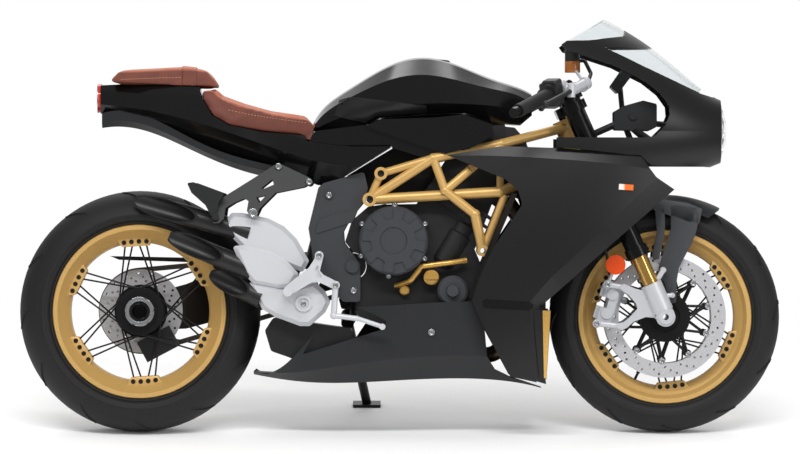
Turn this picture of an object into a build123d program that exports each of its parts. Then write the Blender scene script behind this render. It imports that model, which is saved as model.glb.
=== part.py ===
"""Sport motorcycle with a trellis frame, single-sided swingarm and three exhaust outlets, parked on its stand.

Millimetres. The machine is drawn upright in the bike frame: origin on the ground under the rear axle,
+X forward, +Y to its left, +Z up. Every node is then leaned on to the side stand and moved to the row frame,
whose origin is on the ground at the middle of the parked machine.
"""
from build123d import *
from math import atan2, cos, degrees, hypot, radians, sin, sqrt
import os

# ---------------------------------------------------------------- driving dimensions
WHEELBASE = 1380.0
RAKE = 23.8                 # steering head angle from vertical, degrees
FORK_OFFSET = 30.5          # fork axis ahead of the steering axis
LEAN = 10.0                 # lean on the side stand, degrees
STEER_LOCK = 27.0           # steering lock each way, degrees

RIM_FLANGE_R = 229.5        # 17 inch rim, over its flanges
RIM_SEAT_R = 216.0
RIM_WELL_R = 181.0
RIM_WALL = 7.0
REAR_TYRE = dict(r=317.0, width=180.0, crown=95.0, bead=70.0)
FRONT_TYRE = dict(r=303.0, width=120.0, crown=62.0, bead=45.0)
TYRE_WALL = 10.0

LUGS = 6                    # spoke lugs on each rim
LUG_HOLES = 4
LUG_LENGTH = 102.0
LUG_INNER_R = 172.0
LUG_HOLE_R = 6.0
LUG_HOLE_PITCH = 19.7
SPOKE_R = 2.3
SPOKE_SWING = 76.0          # hub end of a spoke round the hub from its lug, degrees

SWINGARM_PIVOT = (560.0, 436.0)     # x, z
HUB_IN_Y = 60.0             # swingarm hub, inner face
HUB_R = 76.0
AXLE_BORE_R = 20.0
AXLE_R = 32.0
FRONT_AXLE_R = 12.5
FRONT_AXLE_BORE_R = 8.0
FIT = 0.3                   # clearance between faces that almost touch

SHOCK_LOW = (450.0, 385.0)
SHOCK_TOP = (512.0, 618.0)
SHOCK_Y = -20.0
PIN_R = 8.0

CHAIN_Y = 118.0
CHAIN_PITCH_R = 108.0       # loop radius round the rear sprocket
FRONT_SPROCKET = (640.0, 440.0)
FRONT_LOOP_R = 45.0

FORK_Y = 105.0
FORK_TUBE_R = 27.0
STANCHION_R = 21.5
FRONT_DISC_R = 160.0
FRONT_DISC_Y = 64.5
MUDGUARD_Y = 78.0           # outer face of its side blades
REAR_DISC_R = 110.0
REAR_DISC_IN_R = 70.0
REAR_DISC_Y = 44.0

BAR_TIP = (990.0, 350.0, 840.0)     # centre of the left grip's outer end
BAR_ROOT = (1128.0, 129.0, 914.0)   # the bar's axis at the fork leg
BAR_END_R = 14.0
BAR_END = tuple(a + (b - a) * 1.09 for a, b in zip(BAR_ROOT, BAR_TIP))     # outer end of the bar-end weight
PEG = (392.0, 371.0)        # rider footrest x, z
PEG_END_R = 12.5
PEG_TIP_Y = 292.0
HEAD_LOW, HEAD_TOP = 447.0, 582.0   # head tube ends, along the steering axis
RIGHT_PLATE_Y = 104.3       # inner faces of the swingarm pivot plates
LEFT_PLATE_Y = 152.0
PLATE_THICK = 16.0
HANGER_Y = 206.0
FAIRING_WALL = 4.0

REAR_AXLE = Vector(0, 0, REAR_TYRE["r"])
FRONT_AXLE = Vector(WHEELBASE, 0, FRONT_TYRE["r"])
STEER_UP = Vector(-sin(radians(RAKE)), 0, cos(radians(RAKE)))
STEER_FRONT = Vector(cos(radians(RAKE)), 0, sin(radians(RAKE)))
STEER_BASE = FRONT_AXLE - STEER_FRONT * FORK_OFFSET


# ---------------------------------------------------------------- parked attitude
def lean_drop():
    """How far the leaned rear tyre's lowest point falls below the upright ground line."""
    return REAR_TYRE["crown"] * (1 - cos(radians(LEAN)))


def leaned(p):
    """A bike point after the lean, before the shift to the row origin."""
    p, a = Vector(*p), radians(LEAN)
    return Vector(p.X, p.Y * cos(a) + p.Z * sin(a), p.Z * cos(a) - p.Y * sin(a) + lean_drop())


def reach(end, inner, r, side):
    """How far sideways the leaned machine reaches with the flat end of a bar that runs from inner to end."""
    a, b = leaned(inner), leaned(end)
    d = (b - a).normalized()
    return b.Y + side * r * sqrt(1 - d.Y**2)


LEFT_END = reach(BAR_END, BAR_ROOT, BAR_END_R, 1)
RIGHT_END = reach((PEG[0], -PEG_TIP_Y - 1, PEG[1]), (PEG[0], 0, PEG[1]), PEG_END_R, -1)
ROW_ORIGIN = Vector((WHEELBASE + FRONT_TYRE["r"] - REAR_TYRE["r"]) / 2, (LEFT_END + RIGHT_END) / 2, 0)
TO_ROW = Location((-ROW_ORIGIN.X, -ROW_ORIGIN.Y, lean_drop())) * Location((0, 0, 0), (-LEAN, 0, 0))


def row(p):
    """A bike point in the row frame."""
    return leaned(p) - ROW_ORIGIN


# ---------------------------------------------------------------- shape helpers
def box(x0, x1, y0, y1, z0, z1):
    return Pos((x0 + x1) / 2, (y0 + y1) / 2, (z0 + z1) / 2) * Box(x1 - x0, y1 - y0, z1 - z0)


def rod(p, q, r, bore=0.0):
    """A round bar or tube from p to q."""
    p, q = Vector(*p), Vector(*q)
    plane = Plane(origin=p, z_dir=q - p)
    bar = Solid.make_cylinder(r, (q - p).length, plane)
    return bar - Solid.make_cylinder(bore, (q - p).length, plane) if bore else bar


def cross_rod(x, z, y0, y1, r, bore=0.0):
    return rod((x, y0, z), (x, y1, z), r, bore)


def plate(outline, y0, y1, radius=0.0):
    """An outline in x, z made a plate from y0 to y1, its corners rounded by radius."""
    points = [(x, y0, z) for x, z in outline]
    if radius:
        line = FilletPolyline(*points, radius=radius, close=True)
        face = Face(Wire(line.edges()))
    else:
        face = Face(Wire.make_polygon([Vector(*p) for p in points], close=True))
    return extrude(face, amount=y1 - y0, dir=(0, 1, 0))


def skewed_plate(outline, slope, z_ref, y_ref, thick):
    """A plate of constant thickness across the machine whose face leans outwards by slope as it goes down."""
    points = [Vector(x, y_ref + (z_ref - z) * slope, z) for x, z in outline]
    return extrude(Face(Wire.make_polygon(points, close=True)), amount=thick, dir=(0, 1, 0))


def crowned(outline, y0, y1, edge, draft=35.0, radius=8.0):
    """A plate on the right side from y0 out to y1, its rim sloping in over the last edge millimetres."""
    base = plate(outline, y1 + edge, y0, radius)
    face = base.faces().sort_by(Axis.Y)[0]
    return base.fuse(extrude(face, amount=edge, dir=(0, -1, 0), taper=draft))


def behind(point, normal, size=700.0):
    """A large block beyond the plane through a point, for cutting."""
    return Location(Plane(origin=point, z_dir=normal)) * Pos(0, 0, size / 2) * Box(size, size, size)


def mirrored(shape):
    return mirror(shape, about=Plane.XZ)


def both(shape):
    """A piece and its mirror image on the other side of the machine."""
    return [shape, mirrored(shape)]


def joined(*shapes):
    """One solid of several that touch."""
    return shapes[0].fuse(*shapes[1:]) if len(shapes) > 1 else shapes[0]


def ring_section(x, z_low, z_belt, z_top, w_belt, low_full=0.80, top_full=0.80):
    """A closed egg-shaped section at x: four arcs that meet at the belt, the top and the bottom."""
    top, low = Vector(x, 0, z_top), Vector(x, 0, z_low)
    edges = []
    for s in (1, -1):
        belt = Vector(x, s * w_belt, z_belt)
        up = Vector(x, s * w_belt * top_full, z_belt + (z_top - z_belt) * 0.68)
        down = Vector(x, s * w_belt * low_full, z_belt + (z_low - z_belt) * 0.68)
        edges.append([Edge.make_three_point_arc(low, down, belt), Edge.make_three_point_arc(belt, up, top)])
    right = [e for e in edges[0]]
    left = [Edge.make_three_point_arc(top, Vector(x, -w_belt * top_full, z_belt + (z_top - z_belt) * 0.68),
                                      Vector(x, -w_belt, z_belt)),
            Edge.make_three_point_arc(Vector(x, -w_belt, z_belt),
                                      Vector(x, -w_belt * low_full, z_belt + (z_low - z_belt) * 0.68), low)]
    return Wire(right + left)


def angular_section(x, levels, crown=0.0):
    """A closed section at x, symmetric about the middle: levels are (half width, z) from bottom to top."""
    right = [Vector(x, w, z) for w, z in levels]
    left = [Vector(x, -w, z) for w, z in reversed(levels)]
    edges = [Edge.make_line(a, b) for a, b in zip(right, right[1:])]
    top_a, top_b = right[-1], left[0]
    if crown:
        edges.append(Edge.make_three_point_arc(top_a, (top_a + top_b) * 0.5 + Vector(0, 0, crown), top_b))
    else:
        edges.append(Edge.make_line(top_a, top_b))
    edges += [Edge.make_line(a, b) for a, b in zip(left, left[1:])]
    edges.append(Edge.make_line(left[-1], right[0]))
    return Wire(edges)


def lofted(wires, ruled=False):
    return Solid.make_loft(wires, ruled)


def biggest(shape):
    """The largest solid of what a cut has left."""
    return max(shape.solids(), key=lambda solid: solid.volume)


def polar(centre, r, angle, y=0.0):
    """A point at radius r round an axle, angle in degrees from straight ahead, upwards positive."""
    a = radians(angle)
    return Vector(centre.X + r * cos(a), y, centre.Z + r * sin(a))


def round_hole(centre, r, angle, y0, y1, radius):
    """A bar across the machine at a polar position round an axle."""
    p = polar(centre, r, angle)
    return cross_rod(p.X, p.Z, y0, y1, radius)


def turned(p, q, steps):
    """A stepped round piece from p to q: steps are (distance from p, radius), outline first to last."""
    p, q = Vector(*p), Vector(*q)
    plane = Plane(origin=p, z_dir=q - p)
    outline = [(0, steps[0][0])] + [(r, s) for s, r in steps] + [(0, steps[-1][0])]
    face = Face(Wire.make_polygon([plane.from_local_coords((r, 0, s)) for r, s in outline], close=True))
    return Solid.revolve(face, 360, Axis(p, q - p))


def revolved(points, centre):
    """A solid of revolution round an axle from (y, radius) points; (y, radius, 'arc') is an arc's middle."""
    edges, last, middle = [], None, None
    for p in points + [points[0]]:
        here = Vector(centre.X, p[0], centre.Z + p[1])
        if len(p) == 3:
            middle = here
            continue
        if last is not None:
            edges.append(Edge.make_three_point_arc(last, middle, here) if middle else Edge.make_line(last,
                                                                                                     here))
        last, middle = here, None
    face = Face(Wire(edges))
    return Solid.revolve(face, 360, Axis((centre.X, 0, centre.Z), (0, 1, 0)))


# ---------------------------------------------------------------- wheels
def tyre(centre, size):
    r, half, crown, bead = size["r"], size["width"] / 2, size["crown"], size["bead"]
    edge_y = half - 3
    edge_r = r - crown + sqrt(crown**2 - edge_y**2)
    waist_r = (edge_r + RIM_FLANGE_R) / 2 + 4
    t = TYRE_WALL
    outer = [(-bead - 3, RIM_FLANGE_R), (-half, waist_r, "arc"), (-edge_y, edge_r), (0, r, "arc"),
             (edge_y, edge_r),
             (half, waist_r, "arc"), (bead + 3, RIM_FLANGE_R)]
    foot = [(bead - FIT, RIM_FLANGE_R), (bead - FIT, RIM_SEAT_R + FIT), (bead - 14, RIM_SEAT_R + FIT)]
    inner = [(edge_y - t, edge_r - 2), (0, r - t, "arc"), (-edge_y + t, edge_r - 2)]
    other_foot = [(-y, rr) for y, rr in reversed(foot)]
    return revolved(outer + foot + inner + other_foot, centre)


def rim(centre, size, first_lug, lug_y):
    """The rim's barrel with its six lugs, each drilled across for the heads of four spokes."""
    bead = size["bead"]
    over = bead + RIM_WALL
    outer = [(-over, RIM_FLANGE_R - 3), (-bead, RIM_FLANGE_R - 0.5), (-bead, RIM_SEAT_R),
             (-bead * 0.55, RIM_SEAT_R - 6),
             (-bead * 0.4, RIM_WELL_R + 9), (bead * 0.4, RIM_WELL_R + 9), (bead * 0.55, RIM_SEAT_R - 6),
             (bead, RIM_SEAT_R), (bead, RIM_FLANGE_R - 0.5), (over, RIM_FLANGE_R - 3)]
    inner = [(over, RIM_FLANGE_R - 14), (bead - 6, RIM_SEAT_R - 10), (bead * 0.5, RIM_WELL_R + 3),
             (0, RIM_WELL_R),
             (-bead * 0.5, RIM_WELL_R + 3), (-bead + 6, RIM_SEAT_R - 10), (-over, RIM_FLANGE_R - 14)]
    barrel = revolved(outer + inner, centre)
    lug_top = RIM_WELL_R + 7
    half = LUG_LENGTH / 2
    lug = plate([(-half, lug_top), (-half + 16, LUG_INNER_R), (half - 16, LUG_INNER_R), (half, lug_top)],
                -lug_y, lug_y)
    for i in range(LUG_HOLES):
        x = (i - (LUG_HOLES - 1) / 2) * LUG_HOLE_PITCH
        lug -= cross_rod(x, lug_hole_r(x), -lug_y - 1, lug_y + 1, LUG_HOLE_R)
    lugs = [Pos(centre.X, 0, centre.Z) * Rot(0, 90 - first_lug - k * 360 / LUGS,
                                             0) * lug for k in range(LUGS)]
    return joined(barrel, *lugs)


def lug_hole_r(x):
    return LUG_INNER_R + 8.5 - abs(x) * 0.06


def spokes(centre, first_lug, hub_r, flange_y, lug_y):
    """Twenty-four straight spokes: each lug sends two forward and two back round the hub, to each flange."""
    out = []
    for k in range(LUGS):
        lug_angle = first_lug + k * 360 / LUGS
        for i in range(LUG_HOLES):
            x = (i - (LUG_HOLES - 1) / 2) * LUG_HOLE_PITCH
            rim_r = hypot(x, lug_hole_r(x))
            rim_angle = lug_angle - degrees(atan2(x, lug_hole_r(x)))
            side = 1 if x < 0 else -1
            near = i in (0, LUG_HOLES - 1)
            y_hub = -flange_y if near else flange_y
            y_rim = -lug_y * 0.4 if near else lug_y * 0.4
            out.append(rod(polar(centre, hub_r, lug_angle + side * SPOKE_SWING, y_hub),
                           polar(centre, rim_r - LUG_HOLE_R - 0.5, rim_angle, y_rim), SPOKE_R))
    return out


def disc(centre, r_out, r_in, y, thick=5.0, holes=0, rows=3):
    """A drilled brake ring."""
    ring = cross_rod(centre.X, centre.Z, y - thick / 2, y + thick / 2, r_out, r_in)
    drills = []
    for k in range(holes):
        for j in range(rows):
            drills.append(round_hole(centre, r_in + (r_out - r_in) * (j + 1) / (rows + 1),
                                     (k + j / 3) * 360 / holes, y - thick, y + thick, 3.2))
    return ring.cut(*drills) if drills else ring


def front_wheel():
    c, lug_y, first = FRONT_AXLE, 13.0, 35.5
    rim_solid = rim(c, FRONT_TYRE, first, lug_y)
    hub = cross_rod(c.X, c.Z, -58, 58, 27)
    for y in (-36, 36):
        hub = hub.fuse(cross_rod(c.X, c.Z, y - 4, y + 4, 56))
    for y in (-54, 54):
        hub = hub.fuse(cross_rod(c.X, c.Z, y - 4, y + 4, 50))
    hub = joined(hub, *spokes(c, first, 51, 36, lug_y))
    hub = biggest(hub - cross_rod(c.X, c.Z, -70, 70, FRONT_AXLE_R + FIT) - rim_solid)
    rings, carriers = [], []
    for s in (1, -1):
        y = s * FRONT_DISC_Y
        rings.append(disc(c, FRONT_DISC_R, 122, y, 5, holes=20))
        spider = cross_rod(c.X, c.Z, y - 3, y + 3, 66, 40)
        for k in range(10):
            a = 14 + k * 36
            spider = spider.fuse(rod(polar(c, 62, a - 13, y), polar(c, 112, a, y), 3),
                                 rod(polar(c, 62, a + 13, y), polar(c, 112, a, y), 3),
                                 round_hole(c, 112, a, y - 3.5, y + 3.5, 9.5))
        seat = cross_rod(c.X, c.Z, *sorted((s * 58, y)), 50, 40)
        carriers.append(spider.fuse(seat))
    return {"front_tyre": tyre(c, FRONT_TYRE), "front_rim": rim_solid, "front_hub_spokes": hub,
            "front_brake_rings": rings, "front_disc_carriers": carriers}


def rear_wheel():
    c, lug_y, first = REAR_AXLE, 15.0, 33.8
    rim_solid = rim(c, REAR_TYRE, first, lug_y)
    hub = cross_rod(c.X, c.Z, -60, 20, 44)
    hub = hub.fuse(cross_rod(c.X, c.Z, 20, 128, AXLE_R), cross_rod(c.X, c.Z, -68, -60, 38.5),
                   cross_rod(c.X, c.Z, -46, -38, 63), cross_rod(c.X, c.Z, 8, 16, 63))
    hub = joined(hub, *[Pos(0, -15, 0) * s for s in spokes(c, first, 57, 26, lug_y)])
    carrier = cross_rod(c.X, c.Z, REAR_DISC_Y - 3, REAR_DISC_Y + 3, REAR_DISC_IN_R - FIT)
    windows = [round_hole(c, 52, k * 60 + 20, REAR_DISC_Y - 5, REAR_DISC_Y + 5, 12) for k in range(6)]
    hub = biggest(joined(hub, carrier.cut(*windows)) - cross_rod(c.X, c.Z, -80, 140, AXLE_BORE_R) - rim_solid)
    ring = disc(c, REAR_DISC_R, REAR_DISC_IN_R, REAR_DISC_Y, 5, holes=18)
    tip_r, teeth = 100.0, 41
    sprocket = cross_rod(c.X, c.Z, CHAIN_Y - 3.5, CHAIN_Y + 3.5, tip_r, AXLE_R)
    gaps = [round_hole(c, tip_r + 2.5, k * 360 / teeth, CHAIN_Y - 5, CHAIN_Y + 5, 5.2) for k in range(teeth)]
    windows = [round_hole(c, 66, k * 60, CHAIN_Y - 5, CHAIN_Y + 5, 17) for k in range(6)]
    sprocket = sprocket.cut(*gaps, *windows)
    return {"rear_tyre": tyre(c, REAR_TYRE), "rear_rim": rim_solid, "rear_hub_spokes": hub,
            "rear_brake_disc": ring, "rear_sprocket": sprocket}


# ---------------------------------------------------------------- swingarm, chain, rear brake, shock
def swingarm():
    px, pz = SWINGARM_PIVOT
    #            x    y_in y_out z_low z_top
    sections = [(545, 98, 146, 385, 462),
                (450, 98, 146, 358, 452),
                (300, 98, 142, 314, 436),
                (180, 98, 136, 286, 412),
                (118, 70, 110, 270, 388),
                (60, HUB_IN_Y + 2, 94, 268, 372)]
    wires = [Wire.make_polygon([Vector(x, a, z0), Vector(x, b, z0 + 12), Vector(x, b, z1 - 12),
                                Vector(x, a, z1)],
                               close=True) for x, a, b, z0, z1 in sections]
    arm = lofted(wires, ruled=True)
    hub = cross_rod(0, REAR_AXLE.Z, HUB_IN_Y, 98, HUB_R)
    pivot = cross_rod(px, pz, -98, 146, 34)
    arm = joined(arm, hub, pivot, cross_rod(*SHOCK_LOW, SHOCK_Y - 30, 110, PIN_R))
    arm -= cross_rod(0, REAR_AXLE.Z, 30, 110, AXLE_R + FIT)
    arm -= cross_rod(px, pz, -100, 150, 12)
    for x, z, r in ((240, 360, 34), (345, 385, 34), (445, 404, 30)):
        arm -= cross_rod(x, z, 90, 150, r)
    return arm


def chain():
    """A closed loop of two rows of link plates with their rollers between, round both sprockets."""
    dx, dz = FRONT_SPROCKET[0], FRONT_SPROCKET[1] - REAR_AXLE.Z
    dist, tilt = hypot(dx, dz), atan2(dz, dx)
    spread = atan2(CHAIN_PITCH_R - FRONT_LOOP_R, sqrt(dist**2 - (CHAIN_PITCH_R - FRONT_LOOP_R)**2))
    lean = degrees(spread)
    a_up, a_down = degrees(tilt) + 90 - lean, degrees(tilt) - 90 + lean
    c0, c1 = REAR_AXLE, Vector(FRONT_SPROCKET[0], 0, FRONT_SPROCKET[1])

    def loop(r_extra, y0, y1):
        r0, r1 = CHAIN_PITCH_R + r_extra, FRONT_LOOP_R + r_extra
        top0, top1 = polar(c0, r0, a_up, y0), polar(c1, r1, a_up, y0)
        low0, low1 = polar(c0, r0, a_down, y0), polar(c1, r1, a_down, y0)
        edges = [Edge.make_line(top0, top1),
                 Edge.make_three_point_arc(top1, polar(c1, r1, degrees(tilt), y0), low1),
                 Edge.make_line(low1, low0),
                 Edge.make_three_point_arc(low0, polar(c0, r0, degrees(tilt) + 180, y0), top0)]
        return extrude(Face(Wire(edges)), amount=y1 - y0, dir=(0, 1, 0))

    rows = []
    for y0, y1 in ((CHAIN_Y - 9, CHAIN_Y - 5.2), (CHAIN_Y + 5.2, CHAIN_Y + 9)):
        rows.append(loop(6.5, y0, y1) - loop(-6.5, y0 - 1, y1 + 1))
    rollers = []
    for n in range(1, 20):
        t = n / 20
        for a in (a_up, a_down):
            p = polar(c0, CHAIN_PITCH_R, a) * (1 - t) + polar(c1, FRONT_LOOP_R, a) * t
            rollers.append(cross_rod(p.X, p.Z, CHAIN_Y - 7, CHAIN_Y + 7, 4.5))
    for n in range(8):
        p = polar(c0, CHAIN_PITCH_R, a_up + 12 + n * (360 - a_up + a_down - 24) / 7)
        rollers.append(cross_rod(p.X, p.Z, CHAIN_Y - 7, CHAIN_Y + 7, 4.5))
    for n in range(4):
        p = polar(c1, FRONT_LOOP_R, a_down + 18 + n * (a_up - a_down - 36) / 3)
        rollers.append(cross_rod(p.X, p.Z, CHAIN_Y - 7, CHAIN_Y + 7, 4.5))
    return joined(rows[0], rows[1], *rollers)


def chain_guard(arm):
    outline = [(-84, 462), (-60, 452), (120, 446), (250, 462), (250, 470), (110, 458)]
    return biggest(joined(plate(outline, CHAIN_Y - 16, CHAIN_Y + 16),
                          box(225, 250, 102, 107, 415, 466)) - arm)


def rear_caliper():
    a = -62
    p = polar(REAR_AXLE, 98, a)
    body = Pos(p.X, HUB_IN_Y - 19, p.Z) * Rot(0, -a, 0) * Box(60, 41.4, 96)
    slot = cross_rod(0, REAR_AXLE.Z, REAR_DISC_Y - 5, REAR_DISC_Y + 5, REAR_DISC_R + 5)
    keep_out = cross_rod(0, REAR_AXLE.Z, HUB_IN_Y - FIT, 98, HUB_R + FIT)
    return body - slot - keep_out


def rear_shock():
    low, top = Vector(SHOCK_LOW[0], SHOCK_Y, SHOCK_LOW[1]), Vector(SHOCK_TOP[0], SHOCK_Y, SHOCK_TOP[1])
    size = (top - low).length
    body = turned(low, top, [(0, 14), (36, 14), (40, 33), (size - 62, 33), (size - 58, 16), (size - 46, 16),
                             (size - 43, 27),
                             (size - 22, 27), (size, 14)])
    eyes = [cross_rod(p.X, p.Z, SHOCK_Y - 24, SHOCK_Y + 24, 19) for p in (low, top)]
    pins = [cross_rod(p.X, p.Z, SHOCK_Y - 60, SHOCK_Y + 60, PIN_R + FIT) for p in (low, top)]
    return joined(body, *eyes).cut(*pins)


# ---------------------------------------------------------------- frame
def trellis_frame():
    """Side trusses of round tube that meet at the steering head, with drilled bosses at the engine bolts."""
    n = dict(A=(634, 128, 679), B=(604, 128, 611), C=(771, 150, 719), D=(802, 158, 634), E=(945, 150, 631),
             F=(880, 160, 572), G=(901, 152, 477), H=(866, 150, 688), I=(958, 146, 622))
    head_low, head_top = (1160, 22, 716), (1122, 22, 802)
    #        from  to   radius
    tubes = [("A", "C", 10.5), ("A", "B", 10), ("B", "C", 12.5), ("B", "E", 13.5), ("C", "D", 11),
             ("D", "H", 11),
             ("D", "F", 12), ("F", "G", 13), ("G", "I", 10)]
    right = [rod(n[a], n[b], r) for a, b, r in tubes]
    right += [rod(n["E"], head_low, 13.5), rod(n["C"], (950, 112, 757), 12.5),
              rod((950, 112, 757), head_top, 12.5),
              rod(n["H"], (950, 112, 757), 11), rod((950, 112, 757), n["E"], 10)]
    right += [Pos(*n[k]) * Sphere(r) for k, r in (("C", 13), ("D", 13.5), ("E", 14), ("F", 14))]
    right += [Pos(950, 112, 757) * Sphere(13)]
    bosses = [(n["A"], 17, 9), (n["B"], 18, 10), (n["G"], 15, 7)]
    sides = [mirrored(s) for s in right] + right
    for p, r, _ in bosses:
        out = LEFT_PLATE_Y + PLATE_THICK + 2 if p[1] < 130 else p[1] + 16
        sides += [cross_rod(p[0], p[2], -p[1] - 16, -p[1] + 16, r), cross_rod(p[0], p[2], p[1] - 16, out, r)]
    s0, s1 = STEER_BASE + STEER_UP * HEAD_LOW, STEER_BASE + STEER_UP * HEAD_TOP
    head = rod(s0, s1, 34)
    frame = joined(head, *sides, rod((950, -112, 757), (950, 112, 757), 11))
    holes = []
    for s in (1, -1):
        holes += [cross_rod(p[0], p[2], *sorted((s * (p[1] - 20), s * 200)), bore) for p, _, bore in bosses]
    return frame.cut(rod(STEER_BASE + STEER_UP * 400, STEER_BASE + STEER_UP * 620, 22), *holes)


PIVOT_PLATE = [(484, 654), (590, 684), (600, 640), (590, 604), (554, 560), (536, 527), (538, 498),
               (580, 442), (580, 343),
               (535, 343), (500, 380), (456, 452), (450, 500), (444, 536), (470, 642)]


def frame_plates():
    """Pivot plates, the left one outboard of the chain, with pivot bolt, shock pin and the stand's ears."""
    out = []
    for side, y in ((-1, RIGHT_PLATE_Y), (1, LEFT_PLATE_Y)):
        y0, y1 = sorted((side * y, side * (y + PLATE_THICK)))
        face = side * (y + PLATE_THICK)
        one = plate(PIVOT_PLATE, y0, y1, radius=8)
        rib = plate([(460, 520), (560, 552), (575, 590), (474, 560)], *sorted((face, face + side * 3)),
                    radius=5)
        one = joined(one, rib, cross_rod(*SWINGARM_PIVOT, *sorted((face, face + side * 8)), 17),
                     cross_rod(498, 624, *sorted((face, face + side * 4)), 12))
        for x, z in ((634, 679), (604, 611)):
            one -= cross_rod(x, z, y0 - 1, y1 + 5, 18 + FIT)
        out.append(one - cross_rod(667, 503, y0 - 1, y1 + 5, 95))
    lug = plate([(520, 352), (586, 352), (590, 336), (560, 318), (528, 322)], LEFT_PLATE_Y,
                LEFT_PLATE_Y + PLATE_THICK, radius=5)
    return joined(*out, cross_rod(*SHOCK_TOP, -RIGHT_PLATE_Y - 4, LEFT_PLATE_Y + 4, PIN_R), lug, stand_ears(),
                  cross_rod(*SWINGARM_PIVOT, -RIGHT_PLATE_Y - 4, LEFT_PLATE_Y + 4, 12 - FIT))


# ---------------------------------------------------------------- engine
def engine():
    case = plate([(575, 300), (560, 400), (600, 470), (600, 560), (640, 598), (760, 600), (880, 480),
                  (905, 420),
                  (895, 320), (860, 285), (620, 280)], -104, 94, radius=10)
    block = plate([(700, 560), (800, 706), (930, 612), (880, 480), (800, 470)], -104, 104, radius=8)
    head = plate([(790, 694), (828, 752), (985, 640), (940, 590)], -106, 106, radius=8)
    fins = [plate([(742 + k * 14, 622 + k * 21), (746 + k * 14, 629 + k * 21), (900 + k * 14, 520 + k * 21),
                   (896 + k * 14, 513 + k * 21)], -108, 108) for k in range(3)]
    sump = plate([(640, 282), (860, 287), (830, 240), (680, 236)], -80, 80, radius=8)
    starter = turned((792, -84, 438), (866, -84, 560),
                     [(0, 30), (12, 36), (96, 36), (100, 31), (124, 31), (130, 24), (142, 24)])
    rear = plate([(540, 500), (558, 556), (600, 592), (650, 600), (660, 540), (640, 430), (584, 446)], -120,
                 -100, radius=5)
    whole = joined(case, block, head, sump, starter, *fins) - cross_rod(*SWINGARM_PIVOT, -120, 120, 36)
    return joined(whole, rear - cross_rod(*SWINGARM_PIVOT, -130, 120, 36))


CLUTCH = (667.0, 503.0)     # x, z
CLUTCH_R = 88.5


def engine_covers(crankcase, plates, frame):
    """Clutch cover with its ring of pockets, generator cover, pump cover and drive sprocket."""
    c = Vector(CLUTCH[0], 0, CLUTCH[1])
    clutch = revolved([(-104, 0), (-104, CLUTCH_R + 3), (-142, CLUTCH_R + 3), (-148, CLUTCH_R),
                       (-162, CLUTCH_R), (-168, CLUTCH_R - 6),
                       (-168, 36), (-165, 34), (-165, 0)], c)
    pockets = []
    for k in range(8):
        pocket = plate([(58, -12), (86, -19), (86, 19), (58, 12)], -180, -164.5, radius=3)
        pockets.append(Pos(c.X, 0, c.Z) * Rot(0, -(k * 45 + 12), 0) * pocket)
    lugs = [round_hole(c, CLUTCH_R + 5, a, -142, -104, 8) for a in (28, 88, 152, 205, 262, 330)]
    clutch = joined(clutch, *lugs).cut(*pockets)
    g = Vector(770, 0, 430)
    dynamo = revolved([(94, 0), (94, 76), (140, 76), (150, 66), (158, 62), (158, 0)], g)
    guard = plate([(608, 385), (602, 440), (608, 495), (660, 502), (712, 474), (736, 420), (712, 392),
                   (660, 372)],
                  CHAIN_Y + 16, CHAIN_Y + 28, radius=10)
    post = cross_rod(718, 420, 90, CHAIN_Y + 28, 14)
    drive = cross_rod(*FRONT_SPROCKET, 94, CHAIN_Y + 14, 15).fuse(
        cross_rod(*FRONT_SPROCKET, CHAIN_Y - 3.5, CHAIN_Y + 3.5, FRONT_LOOP_R - 4.5 - FIT))
    pump = revolved([(-100, 0), (-100, 40), (-146, 40), (-152, 34), (-152, 17), (-166, 15), (-166, 0)],
                    Vector(822, 0, 372))
    return [biggest(clutch.cut(plates, crankcase, frame)), joined(dynamo, guard, post) - crankcase,
            pump - crankcase, drive]


def engine_fittings(crankcase):
    """Oil filler cap, level plug and a hose round the front of the crankcase."""
    cap = revolved([(-100, 0), (-100, 16), (-120, 16), (-122, 20), (-130, 20), (-132, 17), (-132, 0)],
                   Vector(766, 0, 407))
    grip = box(748, 784, -137, -130, 403, 411)
    plug = revolved([(-100, 0), (-100, 13), (-118, 13), (-121, 10), (-121, 0)], Vector(696, 0, 373))
    path = FilletPolyline((672, -98, 384), (712, -134, 398), (740, -136, 436), (820, -134, 446),
                          (858, -122, 452), radius=16)
    hose = sweep(Plane(origin=path @ 0, z_dir=path % 0) * Circle(7), path=path)
    return [piece - crankcase for piece in (joined(cap, grip), plug, hose)]


def radiator(frame):
    core = plate([(1010, 640), (1032, 646), (1062, 396), (1040, 390)], -170, 170)
    tanks = [box(1008, 1050, -186, -170, 400, 636), box(1008, 1050, 170, 186, 400, 636)]
    cooler = plate([(1044, 350), (1066, 350), (1066, 220), (1044, 220)], -112, 112)
    straps = [box(1046, 1056, y - 6, y + 6, 340, 410) - core for y in (-90, 90)]
    hooks = [biggest(box(1008, 1019, *sorted((s * 98, s * 122)), 628, 668) - frame) for s in (1, -1)]
    return [joined(core, *tanks, *hooks), joined(cooler, *[biggest(strap) for strap in straps])]


# ---------------------------------------------------------------- exhaust
def exhaust():
    #         x    y    z  of each header's bend points, by cylinder
    headers = []
    for y in (-82, 0, 82):
        path = [(962, y, 612), (1000, y, 560), (1000, y * 0.9, 330), (940, y * 0.6, 205), (800, y * 0.4, 190)]
        wire = FilletPolyline(*path, radius=40)
        start = Plane(origin=path[0], z_dir=Vector(*path[1]) - Vector(*path[0]))
        headers.append(sweep(start * Circle(20), path=wire))
    collector = rod((800, 0, 190), (560, -10, 200), 42)
    silencer_box = plate([(330, 268), (352, 302), (560, 272), (560, 174), (430, 182), (392, 198),
                          (346, 214)], -127, 60,
                         radius=12)
    pipes = joined(*headers, collector)
    return pipes, silencer_box - pipes


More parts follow.
